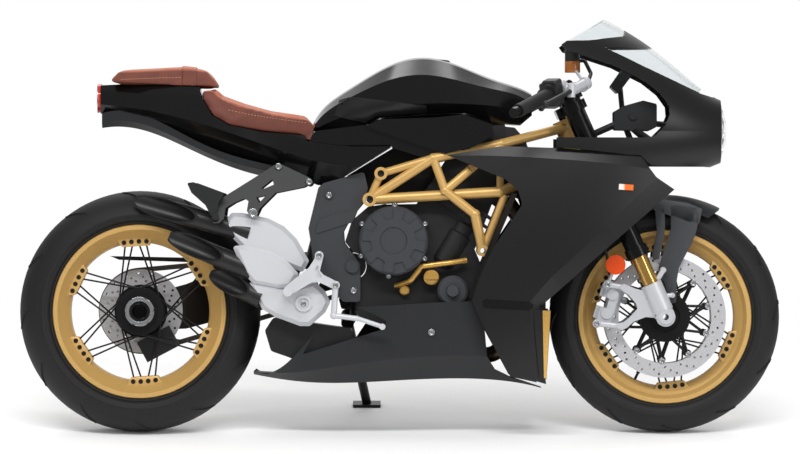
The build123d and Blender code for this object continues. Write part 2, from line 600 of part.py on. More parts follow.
TIP_R, TIP_WALL = 27.0, 3.0
TIPS = [  # inner end x, y, z; mouth centre x, y, z; length of the slanted mouth
    ((292, -150, 522), (68, -127, 586), 143),
    ((300, -160, 425), (148, -143, 487), 130),
    ((322, -156, 352), (237, -146, 393), 100)]
FINGERS = [  # outline x, z; outer y
    ([(225, 541), (230, 560), (244, 576), (272, 576), (338, 562), (380, 541), (413, 508), (446, 451),
      (430, 420), (385, 440),
      (347, 458), (277, 478), (248, 508)], -172),
    ([(246, 489), (277, 492), (347, 477), (385, 455), (420, 416), (399, 381), (370, 378), (300, 390),
      (277, 418)], -188),
    ([(286, 393), (310, 397), (380, 381), (418, 385), (460, 397), (488, 371), (502, 343), (488, 315),
      (448, 280),
      (423, 280), (361, 303), (324, 324), (295, 376)], -180)]


def silencer_shield(pegs, plates):
    """The cast cover over the silencer: three fingers that lie over the start of the three outlets."""
    fingers = [crowned(outline, -128, y, 14, draft=38, radius=7) for outline, y in FINGERS]
    boss = cross_rod(432, 339, -186, -150, 21)
    shield = joined(*fingers, boss) - cross_rod(432, 339, -190, -181, 15)
    tunnels = [rod(a, b, TIP_R + FIT) for a, b, _ in TIPS]
    return biggest(shield.cut(plates, *tunnels, *pegs))


def exhaust_tips():
    """Three tubes cut off at a long slant that faces out and back."""
    tips = []
    for start, mouth, length in TIPS:
        a, c = Vector(*start), Vector(*mouth)
        d = (c - a).normalized()
        slant = atan2(2 * TIP_R, length)
        tube = rod(a, c + d * length * 0.6, TIP_R, TIP_R - TIP_WALL)
        tips.append(biggest(tube - behind(c, d * sin(slant) + Vector(0, -cos(slant), 0))))
    return tips


# ---------------------------------------------------------------- bodywork
TAIL_LAMP_R, LAMP_SEAT_Z = 38.0, 878.0
TAIL_SIDE = [(-110, 832), (34, 817), (158, 754), (362, 703), (445, 659), (487, 640), (660, 748), (660, 753),
             (527, 752),
             (441, 764), (432, 779), (323, 788), (235, 806), (191, 832), (166, 876), (158, 906), (-110, 919)]


def tail_cowl(plates):
    """The tail, a faceted loft whose outline from the side is cut to the seat line and the frame."""
    #        x    (half width, z) bottom, belt, shoulder, top
    rows = [(-104, (20, 838), (42, 862), (38, 898), (24, 912)),
            (20, (40, 806), (88, 846), (84, 888), (60, 917)),
            (160, (60, 746), (122, 812), (112, 884), (84, 912)),
            (300, (80, 700), (138, 764), (128, 806), (104, 830)),
            (440, (92, 652), (146, 716), (142, 768), (108, 796)),
            (560, (100, 640), (152, 694), (150, 748), (112, 776)),
            (670, (104, 640), (156, 700), (156, 750), (116, 776))]
    shell = lofted([angular_section(x, levels) for x, *levels in rows], ruled=True) & plate(TAIL_SIDE, -220,
                                                                                            220)
    return biggest(shell.cut(plates,
                             *[rod((-120, 0, LAMP_SEAT_Z), (-99.7, 0, LAMP_SEAT_Z), TAIL_LAMP_R + FIT)]))


def tail_undertray():
    rows = [(-100, (20, 800), (40, 812), (40, 838)),
            (60, (30, 776), (76, 790), (76, 812)),
            (160, (40, 730), (96, 742), (96, 760)),
            (260, (50, 690), (110, 704), (110, 722)),
            (350, (60, 668), (118, 684), (118, 700))]
    return lofted([angular_section(x, levels) for x, *levels in rows])


def seat():
    outline = [(166, 902), (191, 904), (218, 878), (279, 856), (344, 838), (445, 823), (466, 806), (456, 760),
               (320, 770), (230, 795), (180, 830), (160, 880)]
    return plate(outline, -104, 104, radius=6)


def pillion_pad():
    outline = [(-84, 919), (-56, 948), (121, 957), (178, 950), (206, 919), (214, 900), (195, 906), (158, 907)]
    return plate(outline, -84, 84, radius=6)


TANK_SIDE = [(457, 790), (592, 806), (631, 825), (754, 834), (854, 838), (924, 812), (1000, 806),
             (1040, 840), (1040, 1000),
             (440, 1000)]


def fuel_tank():
    """The tank: knee recess, shoulder crease and crowned top."""
    #        x    (half width, z): foot, knee, crease, roof edge
    rows = [(456, (66, 780), (86, 792), (78, 800), (44, 806)),
            (530, (96, 784), (118, 826), (108, 866), (60, 884)),
            (620, (112, 796), (146, 850), (140, 910), (80, 940)),
            (700, (116, 812), (158, 860), (154, 934), (86, 974)),
            (830, (110, 822), (154, 862), (146, 924), (82, 962)),
            (930, (90, 806), (126, 856), (116, 900), (72, 922)),
            (1030, (60, 796), (92, 836), (86, 862), (54, 884))]
    return lofted([angular_section(x, levels, crown=6) for x, *levels in rows]) & plate(TANK_SIDE, -220, 220)


def fuel_cap():
    """A flush filler cap with a raised ring."""
    cap = Solid.revolve(Face(Wire.make_polygon([(0, 0, -8), (46, 0, -8), (46, 0, 2), (42, 0, 5), (34, 0, 5),
                                                (31, 0, 2),
                                                (0, 0, 2)], close=True)), 360, Axis.Z)
    return Pos(770, 0, 976) * Rot(0, 4, 0) * cap


def tank_side_covers(tank, frame, crankcase, cowl):
    """Covers at the foot of the tank: a thick fairing below the knee, a thinner filler down to the frame."""
    outer = plate([(592, 802), (631, 821), (775, 825), (850, 834), (924, 808), (930, 780), (880, 750),
                   (802, 730)],
                  104, 160, radius=4)
    inner = plate([(462, 790), (592, 806), (800, 820), (900, 790), (870, 745), (802, 726), (740, 722),
                   (664, 746), (660, 754),
                   (527, 753), (446, 764)], 104, 146, radius=4)
    cover = joined(outer, inner) - crankcase
    return [biggest(side.cut(tank, frame, cowl)) for side in both(cover)]


NOSE = [  # x, z low, z belt, z top, half width at the belt
    (1090, 560, 790, 1142, 216),
    (1200, 580, 790, 1096, 206),
    (1300, 620, 790, 1042, 186),
    (1400, 660, 790, 968, 154),
    (1480, 690, 790, 900, 116),
    (1528, 708, 790, 872, 84)]


def nose_shell():
    outer = lofted([ring_section(*r) for r in NOSE])
    t = FAIRING_WALL
    inner = lofted([ring_section(x + (1 if i else -1), z0 + t, zb, z1 - t, w - t) for i,
                    (x, z0, zb, z1, w) in enumerate(NOSE)])
    return outer - inner


ARM_TOP = [(1219, 1009), (1357, 943), (1471, 890)]          # x, z along the upper edge of the cowl's arm
BAND_TOP = [(1120, 1026), (1174, 1027), (1275, 1039)]       # and of the band that holds the two panes


def nose_cowl(shell):
    """The round nose with an arm each side up to the band across the screen."""
    outline = [(1106, 1016), *BAND_TOP, (1275, 1100), (1366, 1100), (1366, 1009), *ARM_TOP, (1506, 880),
               (1560, 900),
               (1560, 690), (1485, 698), (1344, 699), (1312, 727), (1107, 746), (1092, 747), (1092, 773),
               (1336, 773),
               (1352, 779), (1377, 804), (1389, 832), (1387, 856), (1364, 888), (1324, 920), (1243, 961),
               (1115, 1003)]
    return shell & plate(outline, -300, 300)


def windscreen(shell):
    """The tall rear pane above the band and the front pane below it."""
    rear = plate([*BAND_TOP, (1275, 1200), (1226, 1200), (1225, 1087)], -300, 300)
    front = plate([*ARM_TOP, (1478, 905), (1560, 930), (1500, 1000), (1366, 1100), (1366, 1009)], -300, 300)
    return [biggest(shell & rear), biggest(shell & front)]


LAMP_Z, LAMP_X = 791.0, 1528.0


def headlamp(shell):
    """Lamp bowl with the bright ring that closes the nose."""
    flange = biggest(rod((LAMP_X - 16, 0, LAMP_Z), (LAMP_X - 4, 0, LAMP_Z), 88) - shell)
    bowl = turned((LAMP_X - 60, 0, LAMP_Z), (LAMP_X, 0, LAMP_Z),
                  [(0, 40), (20, 60), (44, 68), (52, 68), (58, 74), (62, 72), (63, 66)])
    hollow = turned((LAMP_X - 50, 0, LAMP_Z), (LAMP_X, 0, LAMP_Z), [(0, 30), (16, 52), (40, 64), (60, 64)])
    return joined(bowl, flange) - hollow


def headlamp_lens():
    """A shallow clear dome, turned in rings."""
    return turned((LAMP_X - 6, 0, LAMP_Z), (LAMP_X, 0, LAMP_Z),
                  [(0, 63.5), (8, 63.5), (13, 54), (17, 42), (20, 28), (21.5, 12)])


def cowl_bracket(shell, lamp, panel, fairings):
    """Tubes from the steering head that carry headlamp, instruments, nose cowl and side panels."""
    knee = STEER_BASE + STEER_UP * 515 + STEER_FRONT * 140
    foot = STEER_BASE + STEER_UP * 515 + STEER_FRONT * 30
    stay = joined(rod(foot, knee, 9), Pos(*knee) * Sphere(10.5), rod(knee, (1480, 0, 800), 8),
                  rod(knee, (1262, 0, 925), 7),
                  rod(knee, (1318, 0, 698), 8), cross_rod(1318, 698, -200, 200, 7.5),
                  rod(knee, (1345, 190, 762), 7), rod(knee, (1345, -190, 762), 7))
    cheek = [(1246, 794), (1246, 842), (1272, 857), (1322, 871), (1358, 862), (1358, 802), (1340, 792)]
    stay = joined(stay, cross_rod(knee.X, knee.Z, -90, 90, 6), *both(plate(cheek, 86, 90, radius=6)),
                  *both(cross_rod(1295, 829, 88, 96, 9)))
    head = rod(STEER_BASE + STEER_UP * HEAD_LOW, STEER_BASE + STEER_UP * HEAD_TOP, 34 + FIT)
    return biggest(stay.cut(shell, lamp, panel, head, *fairings))


def instrument_panel():
    """A flat case that faces the rider, under a hood."""
    case = plate([(1236, 908), (1256, 888), (1288, 930), (1304, 962), (1282, 974)], -74, 74, radius=6)
    glass = plate([(1230, 909), (1238, 903), (1280, 968), (1274, 974)], -62, 62)
    return case - glass


FAIRING = [  # x, half width and z: roof edge, crease, waist, hem
    (796, (156, 745), (170, 724), (188, 520), (168, 100)),
    (950, (186, 756), (200, 724), (218, 500), (172, 100)),
    (1100, (198, 750), (212, 716), (226, 500), (160, 100)),
    (1250, (182, 736), (196, 703), (206, 500), (150, 100)),
    (1420, (140, 700), (152, 672), (160, 500), (110, 100))]


def fairing_slab(inset=0.0, t=FAIRING_WALL):
    """A thin curved wall that follows the side of the machine, from which the side panel is cut."""
    wires = []
    for x, *levels in FAIRING:
        o = [Vector(x, w - inset, z) for w, z in levels]
        i = [Vector(x, w - inset - t, z) for w, z in levels]
        wires.append(Wire([Edge.make_line(o[0], o[1]), Edge.make_three_point_arc(o[1], o[2], o[3]),
                           Edge.make_line(o[3], i[3]), Edge.make_three_point_arc(i[3], i[2], i[1]),
                           Edge.make_line(i[1], i[0]), Edge.make_line(i[0], o[0])]))
    return lofted(wires)


FOLD = [  # crease x, z and front edge x, z, the flange's folded line down the front
    ((1356, 668), (1402, 637)), ((1225, 545), (1249, 505)), ((1077, 409), (1104, 378)),
        ((1022, 345), (1050, 330)),
    ((1030, 230), (1056, 230)), ((1040, 136), (1066, 128))]
FOLD_IN = 18.0


def surface_y(slab, x, z):
    """Half width of the outer surface at x, z."""
    return (slab & cross_rod(x, z, 60, 320, 0.5)).bounding_box().max.Y


REAR_LIP = [  # the same for the lip behind the rear edge
    ((990, 626), (976, 630)), ((960, 556), (946, 561)), ((928, 481), (914, 487)), ((892, 398), (878, 403)),
            ((877, 352), (863, 354))]


def folded(slab, crease, sunk):
    """A border folded inwards from a crease on the panel's wall, which starts a little under the surface."""
    ribs = []
    for (cx, cz), (ex, ez) in crease:
        y = surface_y(slab, cx, cz) - sunk
        ribs.append(Wire.make_polygon([Vector(cx, y, cz), Vector(ex, y - FOLD_IN, ez),
                                       Vector(ex, y - FOLD_IN - FAIRING_WALL, ez),
                                       Vector(cx, y - FAIRING_WALL, cz)], close=True))
    return lofted(ribs, ruled=True)


def side_fairing():
    """A curved wall cut to its outline, both upright borders folded inwards, with a slot and a lamp recess."""
    slab = fairing_slab()
    outline = [(806, 727), (906, 686), (957, 665), (991, 635), (1003, 598), (925, 482), (888, 398),
               (872, 348),
               (906, 269), (972, 148), (1041, 133), (1031, 230), (1023, 345), (1078, 408), (1226, 544),
               (1357, 667),
               (1352, 672), (1312, 726), (1107, 745), (949, 750)]
    panel = slab & plate(outline, 60, 300)
    slot = plate([(909, 345), (1021, 338), (1026, 331), (1021, 326), (909, 333), (904, 338)], 60, 300)
    lamp = Pos(1274, 196, 643) * Rot(0, 4, 0) * Box(38 + 2 * FIT, 40, 15 + 2 * FIT)
    return joined(panel, folded(slab, FOLD, 0), folded(slab, REAR_LIP, 1)).cut(slot, lamp)


def belly_pan():
    rows = [(300, (60, 152), (86, 160), (90, 168)),
            (420, (96, 134), (138, 160), (146, 215)),
            (560, (110, 131), (158, 180), (168, 335)),
            (740, (110, 140), (164, 200), (176, 345)),
            (905, (96, 140), (150, 200), (168, 350)),
            (1055, (60, 116), (90, 122), (96, 128))]
    outer = lofted([angular_section(x, levels) for x, *levels in rows])
    t = FAIRING_WALL
    inner = lofted([angular_section(x + (0 if 300 < x < 1055 else (-2 if x == 300 else 2)),
                                    [(lo[0] - t, lo[1] + t), (mid[0] - t, mid[1] + 1),
                                     (top[0] - t, top[1] + 30)])
                    for x, lo, mid, top in rows])
    outline = [(543, 327), (866, 347), (877, 346), (906, 265), (912, 200), (935, 163), (972, 145),
               (1055, 118),
               (1050, 100), (250, 100), (303, 164), (387, 190), (500, 297)]
    shell = (outer - inner) & plate(outline, -220, 220)
    recess = plate([(430, 206), (640, 272), (650, 292), (614, 312), (545, 340), (480, 300)], -220, -100)
    stand_bay = plate([(280, 150), (360, 200), (440, 228), (560, 236), (604, 300), (604, 350), (280, 350)],
                      60, 220)
    shell = shell - recess - stand_bay
    posts = both(cross_rod(766, 264, 80 + FIT, 174, 7))
    return joined(shell, *posts) - (cross_rod(766, 264, -260, -171, 12))


def fairing_trim(panel):
    fin = fairing_slab(FAIRING_WALL + FIT, 14) & plate([(1030, 322), (1078, 322), (1067, 142), (1048, 142)],
                                                       60, 300)
    bar = fairing_slab(1.5, 2.5) & plate([(909.3, 344.4), (1020.8, 337.5), (1025.5, 331), (1020.8, 326.4),
                                          (909.3, 333.4),
                                          (904.5, 338)], 60, 300)
    return both(biggest(fin - panel)) + both(bar)


def indicators():
    lamp = Pos(1274, 0, 643) * Rot(0, 4, 0) * Box(38, 10, 15)
    return both(Pos(0, 196, 0) * lamp)


# ---------------------------------------------------------------- foot controls
HANGER = [(463, 465), (473, 476), (485, 465), (475, 425), (485, 414), (519, 397), (527, 386), (514, 376),
          (472, 395), (453, 394),
          (411, 369), (388, 355), (377, 369), (385, 384), (446, 433), (461, 456)]


def hanger(inner_y):
    """One rider footrest with its forked bracket, inner_y being the face of the plate it bolts to."""
    y = HANGER_Y
    arm = plate(HANGER, y - 6, y + 5, radius=3) - plate([(462, 428), (470, 440), (472, 424), (480, 408),
                                                         (468, 406)], y + 1, y + 8)
    return joined(arm, cross_rod(473, 465, inner_y, y + 8, 11), cross_rod(516, 387, inner_y, y + 8, 11),
                  cross_rod(*PEG, y - 16, PEG_TIP_Y - 78, 13), cross_rod(*PEG, y - 13, PEG_TIP_Y, 10.5),
                  cross_rod(*PEG, PEG_TIP_Y - 6, PEG_TIP_Y + 1, PEG_END_R))


def rider_footrests():
    right = mirrored(hanger(RIGHT_PLATE_Y + PLATE_THICK + FIT))
    pedal = joined(rod((511, -HANGER_Y, 308), (575, -HANGER_Y - 4, 300), 7),
                   rod((575, -HANGER_Y - 4, 300), (638, -HANGER_Y - 4, 279), 6),
                   rod((511, -HANGER_Y, 308), (516, -HANGER_Y, 386), 8),
                   Pos(511, -HANGER_Y, 308) * Sphere(9.5),
                   cross_rod(638, 279, -HANGER_Y - 22, -HANGER_Y + 6, 8))
    return [hanger(LEFT_PLATE_Y + PLATE_THICK + FIT), joined(right, pedal)]


PILLION_ARM = [(197, 549), (212, 549), (224, 560), (228, 588), (250, 602), (278, 614), (288, 606),
               (284, 582), (292, 567),
               (308, 567), (318, 588), (358, 628), (432, 643), (455, 656), (446, 669), (380, 700),
               (366, 708), (352, 699),
               (230, 622), (204, 604), (186, 584)]
PILLION_SLOPE = 0.42        # outwards per millimetre down


def pillion_footrests():
    """Forked brackets below the tail with their pegs folded up."""
    arm = skewed_plate(PILLION_ARM, PILLION_SLOPE, 700, 122, 13)
    for hole in ([(322, 641), (350, 664), (354, 650), (326, 638)], [(308, 616), (334, 622), (316, 602)]):
        arm -= skewed_plate(hole, PILLION_SLOPE, 700, 110, 40)
    arm = joined(arm, cross_rod(366, 697, 80, 140, 10), cross_rod(446, 656, 80, 156, 10),
                 cross_rod(300, 577, 160, 190, 10))
    peg = joined(plate([(128, 654), (145, 656), (226, 626), (212, 606), (204, 572), (192, 566), (176, 596),
                        (140, 628)],
                       184, 200, radius=4), cross_rod(202, 566, 176, 204, 9))
    return both(joined(arm, peg))


# ---------------------------------------------------------------- front end, all on the steering body
def fork_point(s, y=0.0):
    """A point on the fork legs' axis plane, s above the axle."""
    return FRONT_AXLE + STEER_UP * s + Vector(0, y, 0)


def fork_tubes():
    legs = []
    for y in (FORK_Y, -FORK_Y):
        legs.append(joined(rod(fork_point(196, y), fork_point(640, y), FORK_TUBE_R),
                           rod(fork_point(172, y), fork_point(200, y), FORK_TUBE_R + 4)))
    return [leg - rod(fork_point(170, 0) + Vector(0, s * FORK_Y, 0), fork_point(420, s * FORK_Y),
                      STANCHION_R + FIT)
            for leg, s in zip(legs, (1, -1))]


def stanchions():
    return [rod(fork_point(96, s * FORK_Y), fork_point(418, s * FORK_Y), STANCHION_R) for s in (1, -1)]


FORK_FOOT = [(1323, 372), (1362, 386), (1371, 385), (1394, 334), (1403, 315), (1403, 298), (1394, 286),
             (1380, 281), (1350, 301),
             (1328, 303), (1297, 291), (1278, 274), (1264, 269), (1251, 276), (1251, 285), (1270, 290),
             (1283, 300),
             (1306, 324), (1303, 338), (1283, 361), (1261, 376), (1262, 386), (1272, 390), (1300, 378)]
CALIPER_LUGS = ((1228, 388, 1266, 382), (1200, 286, 1256, 280))      # caliper bolt x, z, arm end x, z


def fork_bottoms():
    """Cast feet with two arms to the caliper, joined by the hollow axle."""
    parts = []
    for s in (1, -1):
        y = s * FORK_Y
        casting = plate(FORK_FOOT, y - 10, y + 10, radius=3)
        foot = joined(casting, rod(fork_point(16, y), fork_point(95, y), 28.5),
                      cross_rod(FRONT_AXLE.X, FRONT_AXLE.Z, y - 26, y + 26, 25),
                      cross_rod(FRONT_AXLE.X, FRONT_AXLE.Z, *sorted((y, y + s * 30)), 19))
        for x, z, ax, az in CALIPER_LUGS:
            foot = joined(foot, rod((x, y, z), (ax, y, az), 8), cross_rod(x, z, y - 11, y + 11, 11))
        stay = joined(rod((1228, y, 388), (1249, y, 440), 5),
                      cross_rod(1249, 440, *sorted((y - s * 8, s * 117.7)), 8),
                      rod(fork_point(84, y), (1374, y, 426), 7),
                      cross_rod(1374, 426, *sorted((s * MUDGUARD_Y, y)), 8),
                      cross_rod(1398, 360, *sorted((s * MUDGUARD_Y, y)), 7),
                      rod(fork_point(60, y), (1398, y, 360), 6))
        parts.append(joined(foot, stay))
    axle = cross_rod(FRONT_AXLE.X, FRONT_AXLE.Z, -FORK_Y - 30, FORK_Y + 30, FRONT_AXLE_R)
    solid = joined(axle, *parts)
    return solid.cut(cross_rod(FRONT_AXLE.X, FRONT_AXLE.Z, -FORK_Y - 40, FORK_Y + 40, FRONT_AXLE_BORE_R),
                     *stanchions())


def brake_hoses(clamps, calipers, controls, pumps):
    """A hose from each caliper up to the lower clamp, and one from the fluid pot to its pump."""
    out = []
    for s in (1, -1):
        path = FilletPolyline((1238, s * 80, 392), (1231, s * 84, 446), (1212, s * 86, 520),
                              (1206, s * 82, 600),
                              (1200, s * 62, 690), radius=40)
        hose = sweep(Plane(origin=path @ 0, z_dir=path % 0) * Circle(4), path=path)
        out.append(biggest(hose.cut(clamps, *calipers)))
    x, y, z = POT
    feed = FilletPolyline((x + 14, y, z + 14), (x + 32, y, z + 14), (x + 48, y - 26, z - 20),
                          (x + 40, y - 66, z - 42), radius=9)
    feed = sweep(Plane(origin=feed @ 0, z_dir=feed % 0) * Circle(5), path=feed)
    return out + [biggest(feed.cut(*controls, *pumps))]


def triple_clamps():
    out = []
    for s0, s1 in ((408, 440), (588, 612)):
        legs = [rod(fork_point(s0, y), fork_point(s1, y), FORK_TUBE_R + 9) for y in (FORK_Y, -FORK_Y)]
        a, b = fork_point((s0 + s1) / 2), STEER_BASE + STEER_UP * (s0 + s1) / 2
        bridge = Location(Plane(origin=(a + b) * 0.5, x_dir=STEER_FRONT, z_dir=STEER_UP)) * Box(62,
                                                                                                2 * FORK_Y,
                                                                                                s1 - s0)
        out.append(joined(bridge, *legs))
    bearings = [rod(STEER_BASE + STEER_UP * s0, STEER_BASE + STEER_UP * (s0 + 9),
                    22 - FIT) for s0 in (HEAD_LOW, HEAD_TOP - 9)]
    stem = rod(STEER_BASE + STEER_UP * 436, STEER_BASE + STEER_UP * 600, 14)
    clamps = joined(stem, *bearings, *out)
    return clamps.cut(*[rod(fork_point(400, y), fork_point(660, y), FORK_TUBE_R + FIT) for y in (FORK_Y,
                                                                                                 -FORK_Y)])


def bar_point(t, side=1):
    """A point along a clip-on bar, t from 0 at the fork leg to 1 at its end."""
    a, b = Vector(*BAR_ROOT), Vector(*BAR_TIP)
    p = a + (b - a) * t
    return Vector(p.X, side * p.Y, p.Z)


def handlebars():
    out = []
    for s in (1, -1):
        clamp = rod(fork_point(618, s * FORK_Y), fork_point(656, s * FORK_Y), FORK_TUBE_R + 9)
        clamp -= rod(fork_point(600, s * FORK_Y), fork_point(645, s * FORK_Y), FORK_TUBE_R + FIT)
        out.append(joined(clamp, rod(bar_point(0.0, s), bar_point(1.0, s), 11),
                          rod(bar_point(1.0, s), bar_point(1.09, s), BAR_END_R)))
    return out


def grips():
    return [rod(bar_point(0.42, s), bar_point(1.0, s), 17.5, 11 + FIT) for s in (1, -1)]


def bar_plane(share, side):
    """A plane square to the handlebar at a share of its length, its first axis upwards."""
    return Plane(origin=bar_point(share, side), x_dir=(0, 0, 1),
                 z_dir=bar_point(1, side) - bar_point(0, side))


PUMP = Vector(66, 0, 14)         # pump barrel, ahead of the bar
POT = (1136.0, -105.0, 961.0)    # underside of the brake fluid pot


def hand_controls(bars, pumps):
    """Switch pods round the bars, and the levers ahead of the grips."""
    out = []
    for s in (1, -1):
        case = fillet((bar_plane(0.32, s) * Box(70, 46, 34)).edges(), 7)
        ring = rod(bar_point(0.385, s), bar_point(0.415, s), 27)
        lever = joined(rod(bar_point(0.45, s) + PUMP, bar_point(0.95, s) + PUMP, 6.5),
                       Pos(*(bar_point(0.95, s) + PUMP)) * Sphere(9))
        pod = joined(case, ring) - rod(bar_point(0.2, s), bar_point(0.5, s), 11 + FIT)
        out += [pod.cut(*bars, *pumps), biggest(lever.cut(*pumps))]
    x, y, z = POT
    return out + [joined(rod(POT, (x, y, z + 43), 20), rod((x, y, z + 36), (x, y, z + 40), 21.5))]


def hand_pumps(bars):
    """A cast pump clamped to each bar inside the switch pod, the right one with the fluid pot's bracket."""
    out = []
    for s in (1, -1):
        inner, outer = bar_point(0.20, s) + PUMP, bar_point(0.46, s) + PUMP
        clamp = joined(rod(bar_point(0.13, s), bar_point(0.22, s), 20),
                       rod(bar_point(0.175, s), bar_point(0.23, s) + PUMP, 10))
        barrel = joined(rod(inner, outer, 14), rod(inner, inner + (inner - outer).normalized() * 9, 17),
                        rod(outer - Vector(0, 0, 17), outer + Vector(0, 0, 17), 10))
        out.append(joined(clamp, barrel) - rod(bar_point(0.1, s), bar_point(0.3, s), 11 + FIT))
    x, y, z = POT
    out[1] = joined(out[1], rod(bar_point(0.20, -1) + PUMP, (x + 4, y - 4, z - 6), 4),
                    rod((x, y, z - 8), (x, y, z), 12))
    return [biggest(pump.cut(*bars)) for pump in out]


MUDGUARD_BLADES = [  # x, z: skirt below the hoop, broad blade to the fork foot, narrow one ahead of it
    [(1346, 606), (1372, 612), (1440, 602), (1478, 586), (1470, 548), (1440, 552), (1350, 584)],
    [(1394, 600), (1464, 590), (1469, 562), (1461, 523), (1448, 492), (1417, 434), (1411, 400), (1409, 342),
     (1400, 338),
     (1392, 342), (1378, 392), (1363, 408), (1363, 434), (1382, 496), (1395, 535)],
    [(1352, 600), (1378, 600), (1380, 540), (1376, 505), (1364, 455), (1352, 452), (1345, 462), (1358, 527)]]


def front_mudguard():
    """A hoop that follows the tyre, with side blades down to the fork feet."""
    c, over = FRONT_AXLE, FRONT_TYRE["r"] + 18
    half, drop, t = MUDGUARD_Y - 2, 38.0, 3.5
    section = [Vector(c.X, y, c.Z + r) for y, r in ((-half, over - drop), (0, over), (half, over - drop))]
    inner = [Vector(c.X, y, c.Z + r) for y, r in ((half - t, over - drop), (0, over - t), (-half + t,
                                                                                           over - drop))]
    face = Face(Wire([Edge.make_three_point_arc(*section), Edge.make_line(section[2], inner[0]),
                      Edge.make_three_point_arc(*inner), Edge.make_line(inner[2], section[0])]))
    axis = Axis((c.X, 0, c.Z), (0, 1, 0))
    hoop = Solid.revolve(face, 27, axis).fuse(Solid.revolve(face, -34, axis))
    wedge = plate([(c.X, c.Z + 180), (1530, 588), (1524, 640), (1300, 680), (1180, 560), (1230, 500),
                   (1330, 560)], -100, 100)
    blades = []
    for y in ((MUDGUARD_Y - 4, MUDGUARD_Y - FIT), (-MUDGUARD_Y + FIT, -MUDGUARD_Y + 4)):
        blades += [plate(outline, *y, radius=3) for outline in MUDGUARD_BLADES]
    return joined(hoop & wedge, *blades)


def front_calipers():
    """Four-piston blocks round the front rings, bolted to the fork feet."""
    out, feet = [], fork_bottoms()
    for s in (1, -1):
        y = s * (FRONT_DISC_Y + 2)
        body = joined(Box(44, 46, 104), Box(38, 58, 118), Pos(-8, 0, 0) * Box(44, 40, 92))
        pistons = [Pos(2, s * 29, z) * Rot(90, 0, 0) * Cylinder(15, 8) for z in (-26, 26)]
        body = joined(body, *pistons) - Pos(-18, 0, 0) * Box(30, 80, 26)
        slot = cross_rod(FRONT_AXLE.X, FRONT_AXLE.Z,
                         *sorted((s * (FRONT_DISC_Y - 6), s * (FRONT_DISC_Y + 6))),
                         FRONT_DISC_R + 6)
        out.append(biggest((Pos(1232, y, 338) * Rot(0, 17, 0) * body) - slot - feet))
    return out


def reflectors():
    return [cross_rod(1249, 440, *sorted((s * 118, s * 124)), 26) for s in (1, -1)]


# ---------------------------------------------------------------- side stand
STAND_PIVOT = Vector(545, 146, 296)
STAND_FOOT = (50.0, 158.0)  # foot centre from the stand pivot on the ground, forward and outward
STOWED = Vector(-0.972, 0.16, -0.17).normalized()
STAND_EYE = 13.0            # half length of the leg's eye on the hinge pin


def stand_ankle():
    """Where the leg meets the foot, in the bike frame."""
    p = row(STAND_PIVOT)
    return (TO_ROW.inverse() * Pos(p.X + STAND_FOOT[0], p.Y + STAND_FOOT[1], 8)).position


def stand_joint():
    """The hinge axis and the angle that stows the leg."""
    down = (stand_ankle() - STAND_PIVOT).normalized()
    axis = down.cross(STOWED).normalized()
    return axis, degrees(atan2(down.cross(STOWED).length, down.dot(STOWED)))


def side_stand():
    ankle, axis = stand_ankle(), stand_joint()[0]
    pad_row = row(ankle)
    pad = TO_ROW.inverse() * Pos(pad_row.X, pad_row.Y, 4) * Box(74, 58, 8)
    eye = rod(STAND_PIVOT - axis * STAND_EYE, STAND_PIVOT + axis * STAND_EYE, 17)
    return joined(rod(ankle, STAND_PIVOT, 12), pad, eye) - rod(STAND_PIVOT - axis * 30,
                                                               STAND_PIVOT + axis * 30, PIN_R + FIT)


def stand_ears():
    """Two ears either side of the leg's eye, the pin through them and the arm that holds them."""
    axis = stand_joint()[0]
    down = (stand_ankle() - STAND_PIVOT).normalized()
    back = (down + STOWED).normalized() * -1
    ears = []
    for s in (1, -1):
        inner, outer = STAND_PIVOT + axis * s * (STAND_EYE + FIT), STAND_PIVOT + axis * s * (STAND_EYE + 7)
        ears += [rod(inner, outer, 17), rod(inner + back * 24, outer + back * 24, 12),
                 rod(inner + back * 12, outer + back * 12, 14)]
    pin = rod(STAND_PIVOT - axis * (STAND_EYE + 9), STAND_PIVOT + axis * (STAND_EYE + 9), PIN_R)
    root = STAND_PIVOT + back * 30
    bridge = rod(root - axis * (STAND_EYE + 7), root + axis * (STAND_EYE + 7), 11)
    return joined(pin, bridge, *ears, rod(root, (566, LEFT_PLATE_Y + 8, 340), 12))


